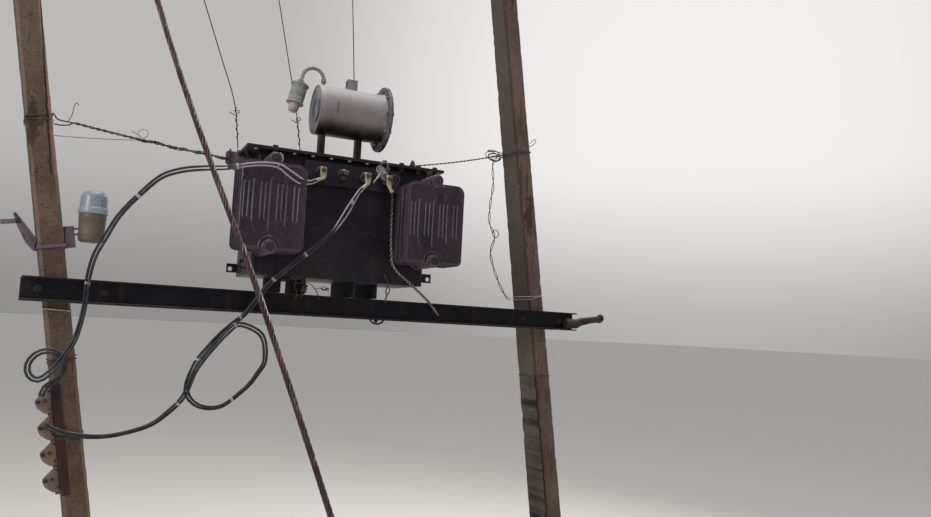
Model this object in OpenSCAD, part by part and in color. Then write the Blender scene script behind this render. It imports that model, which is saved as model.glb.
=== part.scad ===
// Pole mounted distribution transformer on a two-pole structure.
// Millimetres. The origin is the middle of the left pole's foot, on the ground.
// X runs along the beams to the right, Y runs away from the front, Z is up.

/* [Poles] */
// Distance between the pole centres at the underside of the beams
pole_spacing = 2440; // [2100:10:2800]
// Height of the pole tops above the ground
pole_height = 6500; // [6200:50:7200]
// Width of a pole's narrow face
pole_w = 100; // [90:1:120]
// Depth of a pole at the ground
pole_foot_d = 215; // [190:1:260]
// Depth of a pole at its top
pole_top_d = 110; // [90:1:150]
// Bevel along the edges of a pole
pole_bevel = 12; // [6:1:20]
// Lean of the left pole towards the left, in degrees
left_lean = 9.8; // [6:0.1:12]
// Lean of the right pole towards the left, in degrees
right_lean = 8.6; // [6:0.1:12]

/* [Beams] */
// Height of the underside of the beams above the ground
platform_h = 2400; // [2200:10:2700]
// Height of a beam channel
beam_h = 100; // [75:1:125]
// Width of a beam channel's flanges
beam_b = 50; // [40:1:65]
// Thickness of a beam channel's web
beam_web = 5; // [4:0.5:8]
// Thickness of a flange at its tip
flange_tip = 6; // [4:0.5:8]
// Thickness of a flange at its root
flange_root = 9; // [7:0.5:11]
// Length of the beams beyond the left pole's centre
beam_left_over = 138; // [110:1:250]
// Length of the beams beyond the right pole's centre
beam_right_over = 228; // [180:1:300]
// Diameter of the tie bolts between the two beams
tie_d = 16; // [12:1:20]
// Distance between the two tie bolts at a pole
tie_pair = 255; // [230:1:270]
// Distance of the left pole's first tie bolt from that pole's centre
left_tie_off = 75; // [72:1:90]
// Distance of the right pole's first tie bolt from that pole's centre
right_tie_off = 122; // [100:1:150]
// Distance of the spare hole from the left pole's centre
spare_hole_x = 1575; // [1500:5:1650]
// Diameter of the spare hole
spare_hole_d = 18; // [14:1:22]

/* [Tank] */
// Distance of the tank's middle from the left pole's centre
tank_off_x = 1202; // [1150:1:1260]
// Distance of the tank's middle in front of the pole centres
tank_off_y = 21; // [0:1:40]
// Turn of the tank on its beams, in degrees
tank_turn = 4.7; // [0:0.1:8]
// Length of the tank
tank_l = 842; // [800:1:900]
// Depth of the tank
tank_d = 394; // [360:1:430]
// Height of the tank with its rim
tank_h = 580; // [540:1:640]
// Radius of the tank's upright corners
tank_r = 12; // [8:1:40]
// Overhang of the rim and the cover at the tank's ends
rim_over_x = 64; // [58:1:72]
// Overhang of the rim and the cover at the front and the back
rim_over_y = 53; // [46:1:60]
// Thickness of the rim
rim_t = 8; // [5:1:12]
// Thickness of the cover
cover_t = 6; // [4:1:10]
// Distance of the cover's bolt holes from its edge
bolt_edge = 22; // [16:1:28]
// Diameter of the cover's bolt holes
cover_hole_d = 15; // [12:1:18]
// Bolt holes along each long side of the cover
holes_long = 11; // [9:1:13]
// Distance of a long side's first bolt hole from the cover's end
bolt_end = 42; // [36:1:50]
// Bolt holes along each short side of the cover
holes_short = 4; // [3:1:5]
// Distance from one bolt hole to the next along the short sides
bolt_pitch = 91; // [80:1:96]
// Height of a base channel under the tank
base_h = 76; // [60:1:90]
// Width of a base channel
base_w = 120; // [100:1:140]
// Wall of a base channel
base_t = 6; // [4:0.5:9]
// Place of the left base channel along the tank
base_left_x = -225; // [-260:1:-180]
// Place of the right base channel along the tank
base_right_x = 128; // [90:1:170]
// Diameter of the holes in the pulling lugs
lug_hole_d = 22; // [18:1:26]
// Height of the stiffener on the front wall
stiff_z = 213; // [180:1:240]
// Width of the stiffener
stiff_w = 30; // [20:1:40]
// Thickness of the stiffener
stiff_t = 6; // [4:1:10]
// Thickness of a lifting lug
lift_t = 10; // [8:1:16]
// Reach of a lifting lug beyond the rim
lift_out = 56; // [40:1:70]
// Height of a lifting lug's foot on the tank's end wall
lift_foot = 120; // [100:5:150]
// Place of the earth stud along the cover
stud_x = 333; // [320:1:335]
// Place of the earth stud in front of the cover's middle
stud_y = 200; // [190:1:205]
// Diameter of the earth stud
stud_d = 15; // [12:1:16]
// Height of the earth stud above the cover
stud_h = 38; // [34:1:50]

/* [Radiators] */
// Distance of a radiator's middle from the tank's middle
rad_x = 386; // [370:1:400]
// Width of a radiator panel
rad_w = 294; // [270:1:310]
// Height of the lower header above the tank's bottom
rad_low = 111; // [100:1:130]
// Distance between the two headers
rad_pitch_z = 387; // [370:1:400]
// Diameter of a header pipe
header_d = 48; // [40:1:52]
// Panels in a radiator
panels = 4; // [3:1:5]
// Distance from one panel to the next
panel_pitch = 48; // [42:1:52]
// Distance of the first panel from the tank wall
panel_first = 62; // [50:1:70]
// How far the headers stand out of the last panel
hub_out = 25; // [16:1:32]
// Diameter of the round boss that is pressed round a header
boss_d = 96; // [80:1:110]
// Thickness of a panel's welded seam
seam_t = 3; // [2:0.5:4]
// Width of the welded seam
seam_w = 11; // [8:1:16]
// Thickness of a panel's hollow body
panel_t = 9; // [7:0.5:12]
// Rounding of a panel's corners
panel_r = 34; // [24:1:44]
// Reach of a panel below the middle of its lower header
panel_below = 16; // [10:1:20]
// Drop of a panel's top edge below the middle of its upper header
panel_under = 13; // [6:1:16]
// Height of the ribs above a panel's body, on each side
rib_rise = 4; // [2:0.5:6]
// Width of a rib
rib_w = 11; // [8:0.5:15]
// Distance between the ribs of a short pair
rib_pitch = 19.5; // [16:0.5:21]
// Distance from one long rib to the next
group_pitch = 72.5; // [66:0.5:74]
// Place of the middle long rib across a panel
rib_mid = -9.5; // [-12:0.5:0]

/* [Low voltage side] */
// Place of the pocket's middle along the tank
pocket_x = 20; // [0:1:40]
// Length of the pocket
pocket_w = 465; // [440:1:500]
// Height of the pocket
pocket_h = 106; // [90:1:115]
// Height of the pocket's underside above the tank's bottom
pocket_z = 442; // [430:1:455]
// How far the pocket stands out of the wall
pocket_out = 45; // [30:1:55]
// Place of the first bushing along the tank
lv_first = -140; // [-150:1:-130]
// Distance between bushings
lv_pitch = 108; // [100:1:116]
// Diameter of a bushing's base
lv_base_d = 48; // [40:1:56]
// Length of a bushing's porcelain
lv_len = 46; // [38:1:60]
// Diameter of a bushing's stud
lv_stud_d = 12; // [10:1:16]

/* [High voltage side] */
// Place of the pocket's middle along the tank
hv_pocket_x = -85; // [-100:1:-60]
// Length of the pocket
hv_pocket_w = 640; // [600:1:670]
// Height of the pocket on the wall
hv_pocket_h = 150; // [130:5:180]
// How far the pocket stands out of the wall
hv_pocket_out = 95; // [80:1:120]
// Distance between the bushings at their feet
hv_pitch = 240; // [220:1:260]
// Splay of the outer bushings, in degrees
hv_splay = 20; // [0:1:25]
// Length of a bushing
hv_len = 250; // [220:1:280]
// Diameter of a bushing's sheds
hv_shed_d = 104; // [90:1:120]

/* [Conservator] */
// Diameter of the drum
drum_d = 250; // [220:1:280]
// Length of the drum
drum_l = 350; // [320:1:400]
// Place of the drum's left end along the tank
drum_left = -128; // [-150:1:-100]
// Height of the drum's axis above the cover
drum_rise = 271; // [250:1:300]
// Diameter of the drum's end flange
drum_flange_d = 335; // [310:1:360]
// Thickness of the drum's end flange
drum_flange_t = 8; // [6:1:12]
// Diameter of the breather's pipe
pipe_d = 20; // [16:1:24]
// Radius of the breather pipe's bow
pipe_bow = 54; // [45:1:65]
// Tilt of the breather, in degrees
breather_tilt = 12; // [0:1:20]
// Diameter of the breather's body
breather_d = 78; // [70:1:90]
// Length of the breather's body
breather_l = 112; // [100:1:130]
// Diameter of the oil gauge on the drum's end
gauge_d = 120; // [90:1:140]

/* [Left pole fittings] */
// Height of the strap above the underside of the beams
strap_z = 231; // [210:1:260]
// Height of the strap's band
strap_h = 14; // [10:1:30]
// Thickness of the strap
strap_t = 4; // [3:0.5:6]
// Diameter of the canister
canister_d = 112; // [100:1:120]
// Height of the canister's body
canister_h = 122; // [110:1:130]
// Distance of the canister's middle from the left pole's centre
canister_x = 108; // [104:1:118]
// Units on the fuse board
fuse_units = 4; // [3:1:4]
// Height of one unit
fuse_unit_h = 108; // [100:1:112]
// Width of one unit
fuse_unit_w = 62; // [58:1:76]

/* [Tie wires] */
// Diameter of a tie wire
wire_d = 8; // [5:1:10]
// Height of the left tie above the underside of the beams
left_wire_z = 777; // [760:1:790]
// Height of the right tie above the underside of the beams
right_wire_z = 990; // [960:1:1020]
// Sag of a tie wire
wire_sag = 8; // [0:1:20]

/* [Timber] */
// Play of the timber's root between the beam's flanges
stub_play = 16; // [8:1:24]
// Length of the timber
stub_len = 261; // [200:1:320]

/* [Top and stay] */
// Distance of the cross-arm below the pole tops
arm_drop = 640; // [550:10:800]
// Height of the cross-arm's channel
arm_h = 75; // [65:1:90]
// Distance between the pin insulators
pin_pitch = 710; // [650:5:740]
// Place of the middle pin insulator
pin_mid_x = -20; // [-60:5:40]
// Diameter of an insulator's pin
pin_d = 20; // [16:1:24]
// Height of the pin above the cross-arm
pin_len = 170; // [165:1:190]
// Diameter of a pin insulator
insulator_d = 176; // [150:1:200]
// Height of a pin insulator
insulator_h = 146; // [130:1:160]
// Height of the stay's clamp above the cross-arm
stay_over_arm = 150; // [120:5:240]
// Place of the stay's anchor along the beams
anchor_x = 765; // [700:5:830]
// Distance of the stay's anchor in front of the pole centres
anchor_y = 2400; // [2300:5:2500]
// Diameter of the stay wire
stay_d = 19; // [14:1:24]

/* [Hidden] */
$fn = 48;

gap = 0.3;
far = 20000;

// Poles
left_x = -platform_h * tan(left_lean);
right_x = left_x + pole_spacing;
right_foot_x = right_x + platform_h * tan(right_lean);
function pole_depth(z) = pole_foot_d + (pole_top_d - pole_foot_d) * z / pole_height;
beam_back = pole_depth(platform_h) / 2;
beam_len = beam_left_over + pole_spacing + beam_right_over;
beam_top = platform_h + beam_h;
tie_z = platform_h + beam_h / 2;
tie_xs = [left_x - left_tie_off, left_x - left_tie_off + tie_pair,
    right_x - right_tie_off, right_x - right_tie_off + tie_pair];

// Tank, in its own frame: the middle of its bottom, with X along its length
tank_z = beam_top + base_h;
cover_top = tank_h + cover_t;
cover_l = tank_l + 2 * rim_over_x;
cover_d = tank_d + 2 * rim_over_y;
wall_y = tank_d / 2;
hole_x = cover_l / 2 - bolt_end;
hole_y = cover_d / 2 - bolt_edge;
hole_pitch = 2 * hole_x / (holes_long - 1);
lift_tip = cover_l / 2 + lift_out;

// Radiators: the ribs end at these distances from the nearer header, and two of the long ones are slanted
panel_last = panel_first + (panels - 1) * panel_pitch;
header_len = panel_last + hub_out;
short_end = 119;
middle_end = 80;
plain_end = 100;
bend_end = 109;
slant = [13, 42];
// A slanted run is narrower than its round ends, so that its sides cut them and don't just touch them
slanted_share = 0.94;
// A rib's round back in two steps, as shares of its width and of its rise
rib_steps = [[1, 0.55], [0.62, 1]];

// Low voltage side
pocket_front = wall_y + pocket_out;
lv_axis_z = pocket_z + pocket_h / 2 + 4;
lv_stud_len = lv_len + 34;
lug_y = pocket_front + lv_len + 6;
lug_t = 4;

// High voltage side
hv_slope = 45;
hv_face_z = tank_h - rim_t - 22;
hv_mid_y = wall_y + hv_pocket_out / 2;
hv_mid_z = hv_face_z - hv_pocket_out / 2;

// Conservator
drum_z = cover_top + drum_rise;
drum_right = drum_left + drum_l;
drum_recess = 8;
pipe_x = drum_left + 35;
pipe_up = 28;
bow_z = drum_z + drum_d / 2 + pipe_up;

// Left pole fittings
canister_z = strap_z + 31;

// Top and stay
arm_z = pole_height - arm_drop;
stay_top_z = arm_z + stay_over_arm;
arm_back = pole_depth(arm_z) / 2;
pin_y = arm_back + 22;
clamp_lug = 8;
anchor_rise = 330;
eye_r = 26;
eye_t = 14;

function lean_x(foot_x, lean, z) = foot_x - z * tan(lean);
function tank_point(x, y, z) = [
    left_x + tank_off_x + x * cos(tank_turn) + y * sin(tank_turn),
    -tank_off_y - x * sin(tank_turn) + y * cos(tank_turn),
    tank_z + z];

// Frames

module leaning(foot_x, lean) {
    translate([foot_x, 0, 0]) rotate([0, -lean, 0]) children();
}

module on_left_pole(z) {
    translate([lean_x(0, left_lean, z), 0, z]) rotate([0, -left_lean, 0]) children();
}

module on_right_pole(z) {
    translate([lean_x(right_foot_x, right_lean, z), 0, z]) rotate([0, -right_lean, 0]) children();
}

module on_tank() {
    translate([left_x + tank_off_x, -tank_off_y, tank_z]) rotate([0, 0, -tank_turn]) children();
}

// Common shapes

module rounded_block(l, d, h, r) {
    linear_extrude(h) {
        square([l - 2 * r, d], center = true);
        square([l, d - 2 * r], center = true);
        for (x = [-1, 1], y = [-1, 1])
            translate([x * (l / 2 - r), y * (d / 2 - r)]) circle(r);
    }
}

// A rolled channel along X with its web's back on y = 0 and its flanges towards -Y
module channel(length, h, b, web, tip, root) {
    rotate([90, 0, 90]) linear_extrude(length)
        polygon([[0, 0], [-b, 0], [-b, tip], [-web, root], [-web, h - root], [-b, h - tip], [-b, h], [0, h]]);
}

module hex_head(d, h) {
    cylinder(d = d, h = h, $fn = 6);
}

// A tube of n sides along a list of points, flattened across by the factor flat
function cr(a, b, c, d, t) = 0.5 * (2 * b + (c - a) * t + (2 * a - 5 * b + 4 * c - d) * t * t
    + (3 * b - a - 3 * c + d) * t * t * t);
function smooth(p, step) = concat([for (i = [0 : len(p) - 2])
    let (n = max(1, round(norm(p[i + 1] - p[i]) / step)))
    for (k = [0 : n - 1])
        cr(p[max(i - 1, 0)], p[i], p[i + 1], p[min(i + 2, len(p) - 1)], k / n)], [p[len(p) - 1]]);
function unit(v) = v / norm(v);
function tangent(p, i) = unit(p[min(i + 1, len(p) - 1)] - p[max(i - 1, 0)]);
module tube(p, d, flat, n, across = [0, 1, 0]) {
    rings = [for (i = [0 : len(p) - 1])
        let (t = tangent(p, i), u = unit(cross(t, across)), w = cross(u, t))
        for (k = [0 : n - 1])
            p[i] + d / 2 * (cos(360 * k / n) * u + flat * sin(360 * k / n) * w)];
    last = len(p) - 1;
    sides = [for (i = [0 : last - 1], k = [0 : n - 1])
        [i * n + k, i * n + (k + 1) % n, (i + 1) * n + (k + 1) % n, (i + 1) * n + k]];
    foot = [for (k = [n - 1 : -1 : 0]) k];
    head = [for (k = [0 : n - 1]) last * n + k];
    polyhedron(rings, concat(sides, [foot], [head]), convexity = 10);
}

// Poles

module pole_section(depth) {
    b = pole_bevel;
    w = pole_w / 2;
    d = depth / 2;
    linear_extrude(1) polygon([[-w + b, -d], [w - b, -d], [w, -d + b], [w, d - b],
        [w - b, d], [-w + b, d], [-w, d - b], [-w, -d + b]]);
}

module pole(foot_x, lean) {
    length = pole_height / cos(lean);
    below = 60;
    growth = (pole_foot_d - pole_top_d) / length;
    intersection() {
        leaning(foot_x, lean) hull() {
            translate([0, 0, -below]) pole_section(pole_foot_d + growth * below);
            translate([0, 0, length - 1]) pole_section(pole_top_d);
        }
        translate([-far / 2, -far / 2, 0]) cube([far, far, far]);
    }
}

module left_pole() {
    color([0.5, 0.45, 0.38]) pole(0, left_lean);
}

module right_pole() {
    color([0.45, 0.4, 0.35]) pole(right_foot_x, right_lean);
}

// Platform

module beam() {
    difference() {
        translate([left_x - beam_left_over, -beam_back, platform_h])
            channel(beam_len, beam_h, beam_b, beam_web, flange_tip, flange_root);
        for (x = tie_xs) translate([x, -beam_back - beam_b, tie_z]) rotate([-90, 0, 0])
            cylinder(d = tie_d + 2, h = 2 * beam_b);
        translate([left_x + spare_hole_x, -beam_back - beam_b, tie_z]) rotate([-90, 0, 0])
            cylinder(d = spare_hole_d, h = 2 * beam_b);
    }
}

module front_beam() {
    color([0.09, 0.09, 0.11]) beam();
}

module rear_beam() {
    color([0.09, 0.09, 0.11]) mirror([0, 1, 0]) beam();
}

module tie_bolts() {
    head = 10;
    color([0.2, 0.19, 0.2]) for (x = tie_xs) translate([x, 0, tie_z]) rotate([90, 0, 0]) {
        translate([0, 0, -beam_back - beam_web - 26])
            cylinder(d = tie_d, h = 2 * (beam_back + beam_web) + 26 + 4);
        translate([0, 0, beam_back + beam_web]) hex_head(1.7 * tie_d, head);
        translate([0, 0, -beam_back - beam_web - head - 3]) hex_head(1.7 * tie_d, head + 3);
    }
}

// An inverted channel across the two beams
module base_channel(x) {
    on_tank() translate([x - base_w / 2, -tank_d / 2, -base_h]) difference() {
        cube([base_w, tank_d, base_h]);
        translate([base_t, -1, -1]) cube([base_w - 2 * base_t, tank_d + 2, base_h - base_t + 1]);
    }
}

module base_channel_left() {
    color([0.1, 0.1, 0.12]) base_channel(base_left_x);
}

module base_channel_right() {
    color([0.1, 0.1, 0.12]) base_channel(base_right_x);
}

// Tank

module tank() {
    color([0.13, 0.12, 0.15]) on_tank() rounded_block(tank_l, tank_d, tank_h - rim_t, tank_r);
}

module cover_holes() {
    end_x = cover_l / 2 - bolt_edge;
    for (i = [0 : holes_long - 1], s = [-1, 1]) translate([-hole_x + i * hole_pitch, s * hole_y, 0])
        cylinder(d = cover_hole_d, h = far, center = true);
    for (i = [0 : holes_short - 1], s = [-1, 1])
        translate([s * end_x, (i - (holes_short - 1) / 2) * bolt_pitch, 0])
            cylinder(d = cover_hole_d, h = far, center = true);
}

module tank_rim() {
    color([0.1, 0.1, 0.12]) on_tank() difference() {
        translate([-cover_l / 2, -cover_d / 2, tank_h - rim_t]) cube([cover_l, cover_d, rim_t]);
        translate([0, 0, tank_h - rim_t - 1]) rounded_block(tank_l - 30, tank_d - 30, rim_t + 2, tank_r);
        cover_holes();
    }
}

module cover() {
    color([0.1, 0.1, 0.12]) on_tank() difference() {
        translate([-cover_l / 2, -cover_d / 2, tank_h]) cube([cover_l, cover_d, cover_t]);
        cover_holes();
    }
}

module wall_stiffener() {
    color([0.15, 0.14, 0.17]) on_tank() translate([-tank_l / 2 + tank_r, -wall_y - stiff_t, stiff_z])
        cube([tank_l - 2 * tank_r, stiff_t, stiff_w]);
}

// A plate at each end of the tank that rises outside the cover's edge
module lifting_lugs() {
    up = cover_top + 2;
    under = tank_h - rim_t;
    out = cover_l / 2 + 2;
    cut = 8;
    color([0.3, 0.25, 0.29]) on_tank() for (s = [-1, 1]) scale([s, 1, 1])
        translate([0, lift_t / 2, 0]) rotate([90, 0, 0]) linear_extrude(lift_t)
            polygon([[tank_l / 2, under - lift_foot], [tank_l / 2, under], [out, under], [out, up],
                [lift_tip - cut, up], [lift_tip, up - cut], [lift_tip, under - 0.35 * lift_foot],
                [lift_tip - 30, under - 0.55 * lift_foot]]);
}

// A stud on the cover with a nut at its foot and one above it
stud_nut = 10;
module earth_stud() {
    across = 1.7 * stud_d;
    color([0.2, 0.18, 0.2]) on_tank() translate([stud_x, -stud_y, cover_top]) {
        cylinder(d = stud_d, h = stud_h);
        hex_head(across, stud_nut);
        translate([0, 0, stud_nut + wire_d + 2 * gap]) hex_head(across, stud_nut);
    }
}

// Plates with holes low on the four corners
module pulling_lugs() {
    plate = 8;
    lug_out = 50;
    color([0.1, 0.1, 0.12]) on_tank() for (s = [-1, 1], f = [-1, 1])
        translate([s * tank_l / 2, f * (wall_y - tank_r - plate / 2), 20]) rotate([90, 0, 0]) difference() {
            translate([s > 0 ? 0 : -lug_out, 0, -plate / 2]) cube([lug_out, 44, plate]);
            translate([s * (lug_out - 17), 18, -plate]) cylinder(d = lug_hole_d, h = 2 * plate);
        }
}

// Radiators

// A stretch of equal width with round ends, bent at each point between
module slot(points, w) {
    for (i = [0 : len(points) - 1]) translate(points[i]) {
        circle(d = w, $fn = 24);
        if (i > 0) {
            back = points[i - 1] - points[i];
            run_w = back[0] == 0 ? w : slanted_share * w;
            rotate(atan2(back[1], back[0])) translate([0, -run_w / 2]) square([norm(back), run_w]);
        }
    }
}

// Short ribs in pairs, with a long one between each two pairs
module ribs_2d(w) {
    h = rad_pitch_z;
    left = rib_mid - group_pitch;
    right = rib_mid + group_pitch;
    for (g = [-1 : 2], k = [1, 2]) {
        x = rib_mid + g * group_pitch - k * rib_pitch;
        slot([[x, short_end], [x, h - short_end]], w);
    }
    slot([[left + slant[0], bend_end - slant[1]], [left, bend_end], [left, h - plain_end]], w);
    slot([[rib_mid, middle_end], [rib_mid, h - middle_end]], w);
    slot([[right, plain_end], [right, h - bend_end], [right - slant[0], h - bend_end + slant[1]]], w);
}

module panel_outline(inset) {
    w = rad_w / 2 - inset;
    r = panel_r - inset;
    low = -panel_below + inset;
    high = rad_pitch_z - panel_under - inset;
    translate([-w + r, low]) square([2 * (w - r), high - low]);
    translate([-w, low + r]) square([2 * w, high - low - 2 * r]);
    for (x = [-w + r, w - r], z = [low + r, high - r]) translate([x, z]) circle(r);
}

// Half a layer's thickness lies on each side of the panel's middle
module layer(t) {
    translate([0, 0, -t / 2]) linear_extrude(t) children();
}

// Two pressed sheets, welded along a flat seam, with ribs and with bosses round the headers
module panel() {
    rotate([90, 0, 0]) {
        layer(seam_t) panel_outline(0);
        layer(panel_t) panel_outline(seam_w);
        layer(panel_t + rib_rise) intersection() {
            panel_outline(seam_w);
            for (z = [0, rad_pitch_z]) translate([0, z]) circle(d = boss_d);
        }
        for (s = rib_steps) layer(panel_t + 2 * s[1] * rib_rise) ribs_2d(s[0] * rib_w);
        layer(panel_t + 2 * rib_rise) for (z = [0, rad_pitch_z]) translate([0, z]) circle(d = header_d + 14);
    }
}

module radiator(side) {
    on_tank() translate([side * rad_x, -wall_y, rad_low]) {
        for (i = [0 : panels - 1]) translate([0, -panel_first - i * panel_pitch, 0]) panel();
        for (z = [0, rad_pitch_z]) translate([0, 0, z]) rotate([90, 0, 0])
            cylinder(d = header_d, h = header_len);
    }
}

module radiator_left() {
    color([0.24, 0.2, 0.25]) radiator(-1);
}

module radiator_right() {
    color([0.24, 0.2, 0.25]) radiator(1);
}

// Low voltage side

module lv_pocket() {
    color([0.14, 0.13, 0.16]) on_tank() translate([pocket_x - pocket_w / 2, -pocket_front, pocket_z])
        cube([pocket_w, pocket_out, pocket_h]);
}

module on_lv(i) {
    on_tank() translate([lv_first + i * lv_pitch, -pocket_front, lv_axis_z]) rotate([90, 0, 0]) children();
}

module lv_bushings() {
    n = lv_len;
    b = lv_base_d / 2;
    s = lv_stud_d / 2;
    color([0.12, 0.1, 0.1]) for (i = [0 : 3]) on_lv(i) rotate_extrude()
        polygon([[s, 0], [b, 0], [b, 0.2 * n], [0.72 * b, 0.32 * n], [0.72 * b, 0.5 * n],
            [0.94 * b, 0.56 * n], [0.94 * b, 0.64 * n], [0.6 * b, 0.78 * n], [0.6 * b, n], [s, n]]);
}

module lv_studs() {
    nut = 8;
    color([0.42, 0.32, 0.22]) for (i = [0 : 3]) on_lv(i) {
        cylinder(d = lv_stud_d, h = lv_stud_len);
        translate([0, 0, lv_len]) hex_head(lv_stud_d * 1.8, 6);
        translate([0, 0, lv_len + 6 + lug_t]) hex_head(lv_stud_d * 1.8, nut);
    }
}

// A crimped cable lug with its palm on a stud and its barrel turned by angle
module cable_lug(palm_w, palm_h, barrel_d, barrel_l, angle) {
    difference() {
        union() {
            rotate([90, 0, 0]) linear_extrude(lug_t) {
                circle(d = palm_w);
                translate([-palm_w / 2, -palm_h]) square([palm_w, palm_h]);
            }
            translate([0, -lug_t / 2, -palm_h]) rotate([0, angle, 0]) translate([0, 0, -barrel_l])
                cylinder(d = barrel_d, h = barrel_l + 6);
        }
        rotate([90, 0, 0]) cylinder(d = lv_stud_d + 1, h = 4 * lug_t, center = true);
    }
}

lug_palm_h = 36;
lug_turn = [62, 0, 42, -30];

module lv_lugs() {
    color([0.62, 0.58, 0.5]) on_tank() for (i = [0, 2, 3])
        translate([lv_first + i * lv_pitch, -lug_y, lv_axis_z])
            cable_lug(i == 0 ? 28 : 30, lug_palm_h, 18, 34, lug_turn[i]);
}

// High voltage side

module hv_pocket() {
    o = hv_pocket_out;
    t = hv_face_z;
    low = t - hv_pocket_h;
    color([0.13, 0.12, 0.15]) on_tank() translate([hv_pocket_x - hv_pocket_w / 2, wall_y, 0])
        rotate([90, 0, 90]) linear_extrude(hv_pocket_w) polygon([[0, low], [o, low], [o, t - o], [0, t]]);
}

module on_hv(i) {
    on_tank() translate([hv_pocket_x + i * hv_pitch, hv_mid_y, hv_mid_z])
        rotate([-hv_slope, 0, 0]) rotate([0, i * hv_splay, 0]) children();
}

module hv_bushings() {
    r = hv_shed_d / 2;
    n = 4;
    foot = 26;
    body = hv_len - foot - 26;
    step = body / n;
    sheds = [for (k = [0 : n - 1]) let (z = foot + k * step)
        [[0.5 * r, z], [r, z + 0.18 * step], [r, z + 0.3 * step], [0.56 * r, z + 0.62 * step]]];
    outline = concat([[0, -14], [0.8 * r, -14], [0.8 * r, 12], [0.5 * r, foot - 2]],
        [for (s = sheds) for (q = s) q], [[0.42 * r, hv_len - 20], [0.42 * r, hv_len], [0, hv_len]]);
    color([0.3, 0.15, 0.1]) for (i = [-1 : 1]) difference() {
        on_hv(i) rotate_extrude() polygon(outline);
        on_tank() translate([hv_pocket_x - hv_pocket_w / 2, wall_y, 0]) rotate([90, 0, 90])
            linear_extrude(hv_pocket_w) polygon([[0, 0], [hv_pocket_out, 0],
                [hv_pocket_out, hv_face_z - hv_pocket_out], [0, hv_face_z]]);
    }
}

module hv_terminals() {
    color([0.55, 0.5, 0.42]) for (i = [-1 : 1]) on_hv(i) translate([0, 0, hv_len]) {
        cylinder(d = 30, h = 8);
        cylinder(d = 12, h = 34);
        translate([0, 0, 18]) hex_head(20, 8);
    }
}

// Conservator and breather

module conservator() {
    wall = 6;
    color([0.6, 0.6, 0.6]) on_tank() translate([drum_left, 0, drum_z]) rotate([0, 90, 0]) difference() {
        cylinder(d = drum_d, h = drum_l, $fn = 72);
        translate([0, 0, -1]) cylinder(d = drum_d - 2 * wall, h = drum_recess + 1, $fn = 72);
    }
}

// A round gauge with a raised rim, on the drum's sunk end
module oil_gauge() {
    r = gauge_d / 2;
    rim = 7;
    glass = 4;
    color([0.12, 0.12, 0.14]) on_tank() translate([drum_left + drum_recess, 0, drum_z]) rotate([0, -90, 0])
        rotate_extrude($fn = 60) polygon([[0, 0], [r, 0], [r, rim - 2], [r - 2, rim], [r - 9, rim],
            [r - 11, glass], [0, glass]]);
}

module conservator_flange() {
    color([0.5, 0.51, 0.53]) on_tank() translate([drum_right, 0, drum_z]) rotate([0, 90, 0]) {
        translate([0, 0, -drum_flange_t]) difference() {
            cylinder(d = drum_flange_d, h = drum_flange_t, $fn = 72);
            translate([0, 0, -1]) cylinder(d = drum_d, h = drum_flange_t + 2, $fn = 72);
        }
        cylinder(d = drum_flange_d, h = drum_flange_t, $fn = 72);
        for (k = [0 : 9]) rotate([0, 0, 36 * k + 18]) translate([drum_flange_d / 2 - 21, 0, -drum_flange_t])
            translate([0, 0, -9]) hex_head(22, 9);
    }
}

leg_w = 32;
leg_xs = [drum_left + 42, drum_left + 232];

module conservator_legs() {
    t = 5;
    color([0.36, 0.33, 0.35]) on_tank() difference() {
        for (x = leg_xs) translate([x - leg_w / 2, -leg_w / 2, cover_top]) {
            cube([leg_w, t, drum_rise]);
            cube([t, leg_w, drum_rise]);
            translate([-6, -14, 0]) cube([leg_w + 12, leg_w + 28, t]);
        }
        drum_space();
    }
}

// The drum's own space, cut out of what sits on it
module drum_space() {
    translate([drum_left - 10, 0, drum_z]) rotate([0, 90, 0]) cylinder(d = drum_d, h = drum_l + 20, $fn = 72);
}

// A box on the drum's back that is open to the left
module filler_box() {
    size = [50, 46, 66];
    wall = 7;
    deep = 32;
    mid = drum_z + drum_d / 2 + 52 - size[2] / 2;
    color([0.5, 0.48, 0.47]) on_tank() difference() {
        translate([drum_left + 180, 0, mid]) cube(size, center = true);
        translate([drum_left + 180 - size[0] / 2 - 1, wall - size[1] / 2, mid + size[2] / 2 - wall - deep])
            cube([deep + 1, size[1] - 2 * wall, deep]);
        drum_space();
    }
}

module breather_pipe() {
    turn = 180 - breather_tilt;
    collar_d = pipe_d + 6;
    collar_h = 18;
    color([0.55, 0.54, 0.53]) on_tank() {
        difference() {
            translate([pipe_x, 0, drum_z]) cylinder(d = pipe_d, h = bow_z - drum_z);
            drum_space();
        }
        translate([pipe_x, 0, bow_z - collar_h / 2]) cylinder(d = collar_d, h = collar_h);
        translate([pipe_x - pipe_bow, 0, bow_z]) rotate([90, 0, 0])
            rotate_extrude(angle = turn) translate([pipe_bow, 0]) circle(d = pipe_d - 1);
        on_pipe_end() translate([0, 0, -drop_len]) cylinder(d = pipe_d, h = drop_len);
    }
}

drop_len = 45;

// The frame at the end of the pipe's bow, with Z up along the drop
module on_pipe_end() {
    a = 180 - breather_tilt;
    translate([pipe_x - pipe_bow + pipe_bow * cos(a), 0, bow_z + pipe_bow * sin(a)])
        rotate([0, breather_tilt, 0]) children();
}

module breather() {
    rim = 7;
    r = breather_d / 2;
    color([0.47, 0.5, 0.48]) on_tank() on_pipe_end() translate([0, 0, -drop_len - breather_l])
        rotate_extrude($fn = 60) polygon([[0, 0], [r + 4, 0], [r + 4, rim], [r, rim],
            [r, breather_l - rim - 8], [r + 7, breather_l - rim - 8], [r + 7, breather_l - 8],
            [18, breather_l - 3], [14, breather_l], [0, breather_l]]);
}

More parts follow.
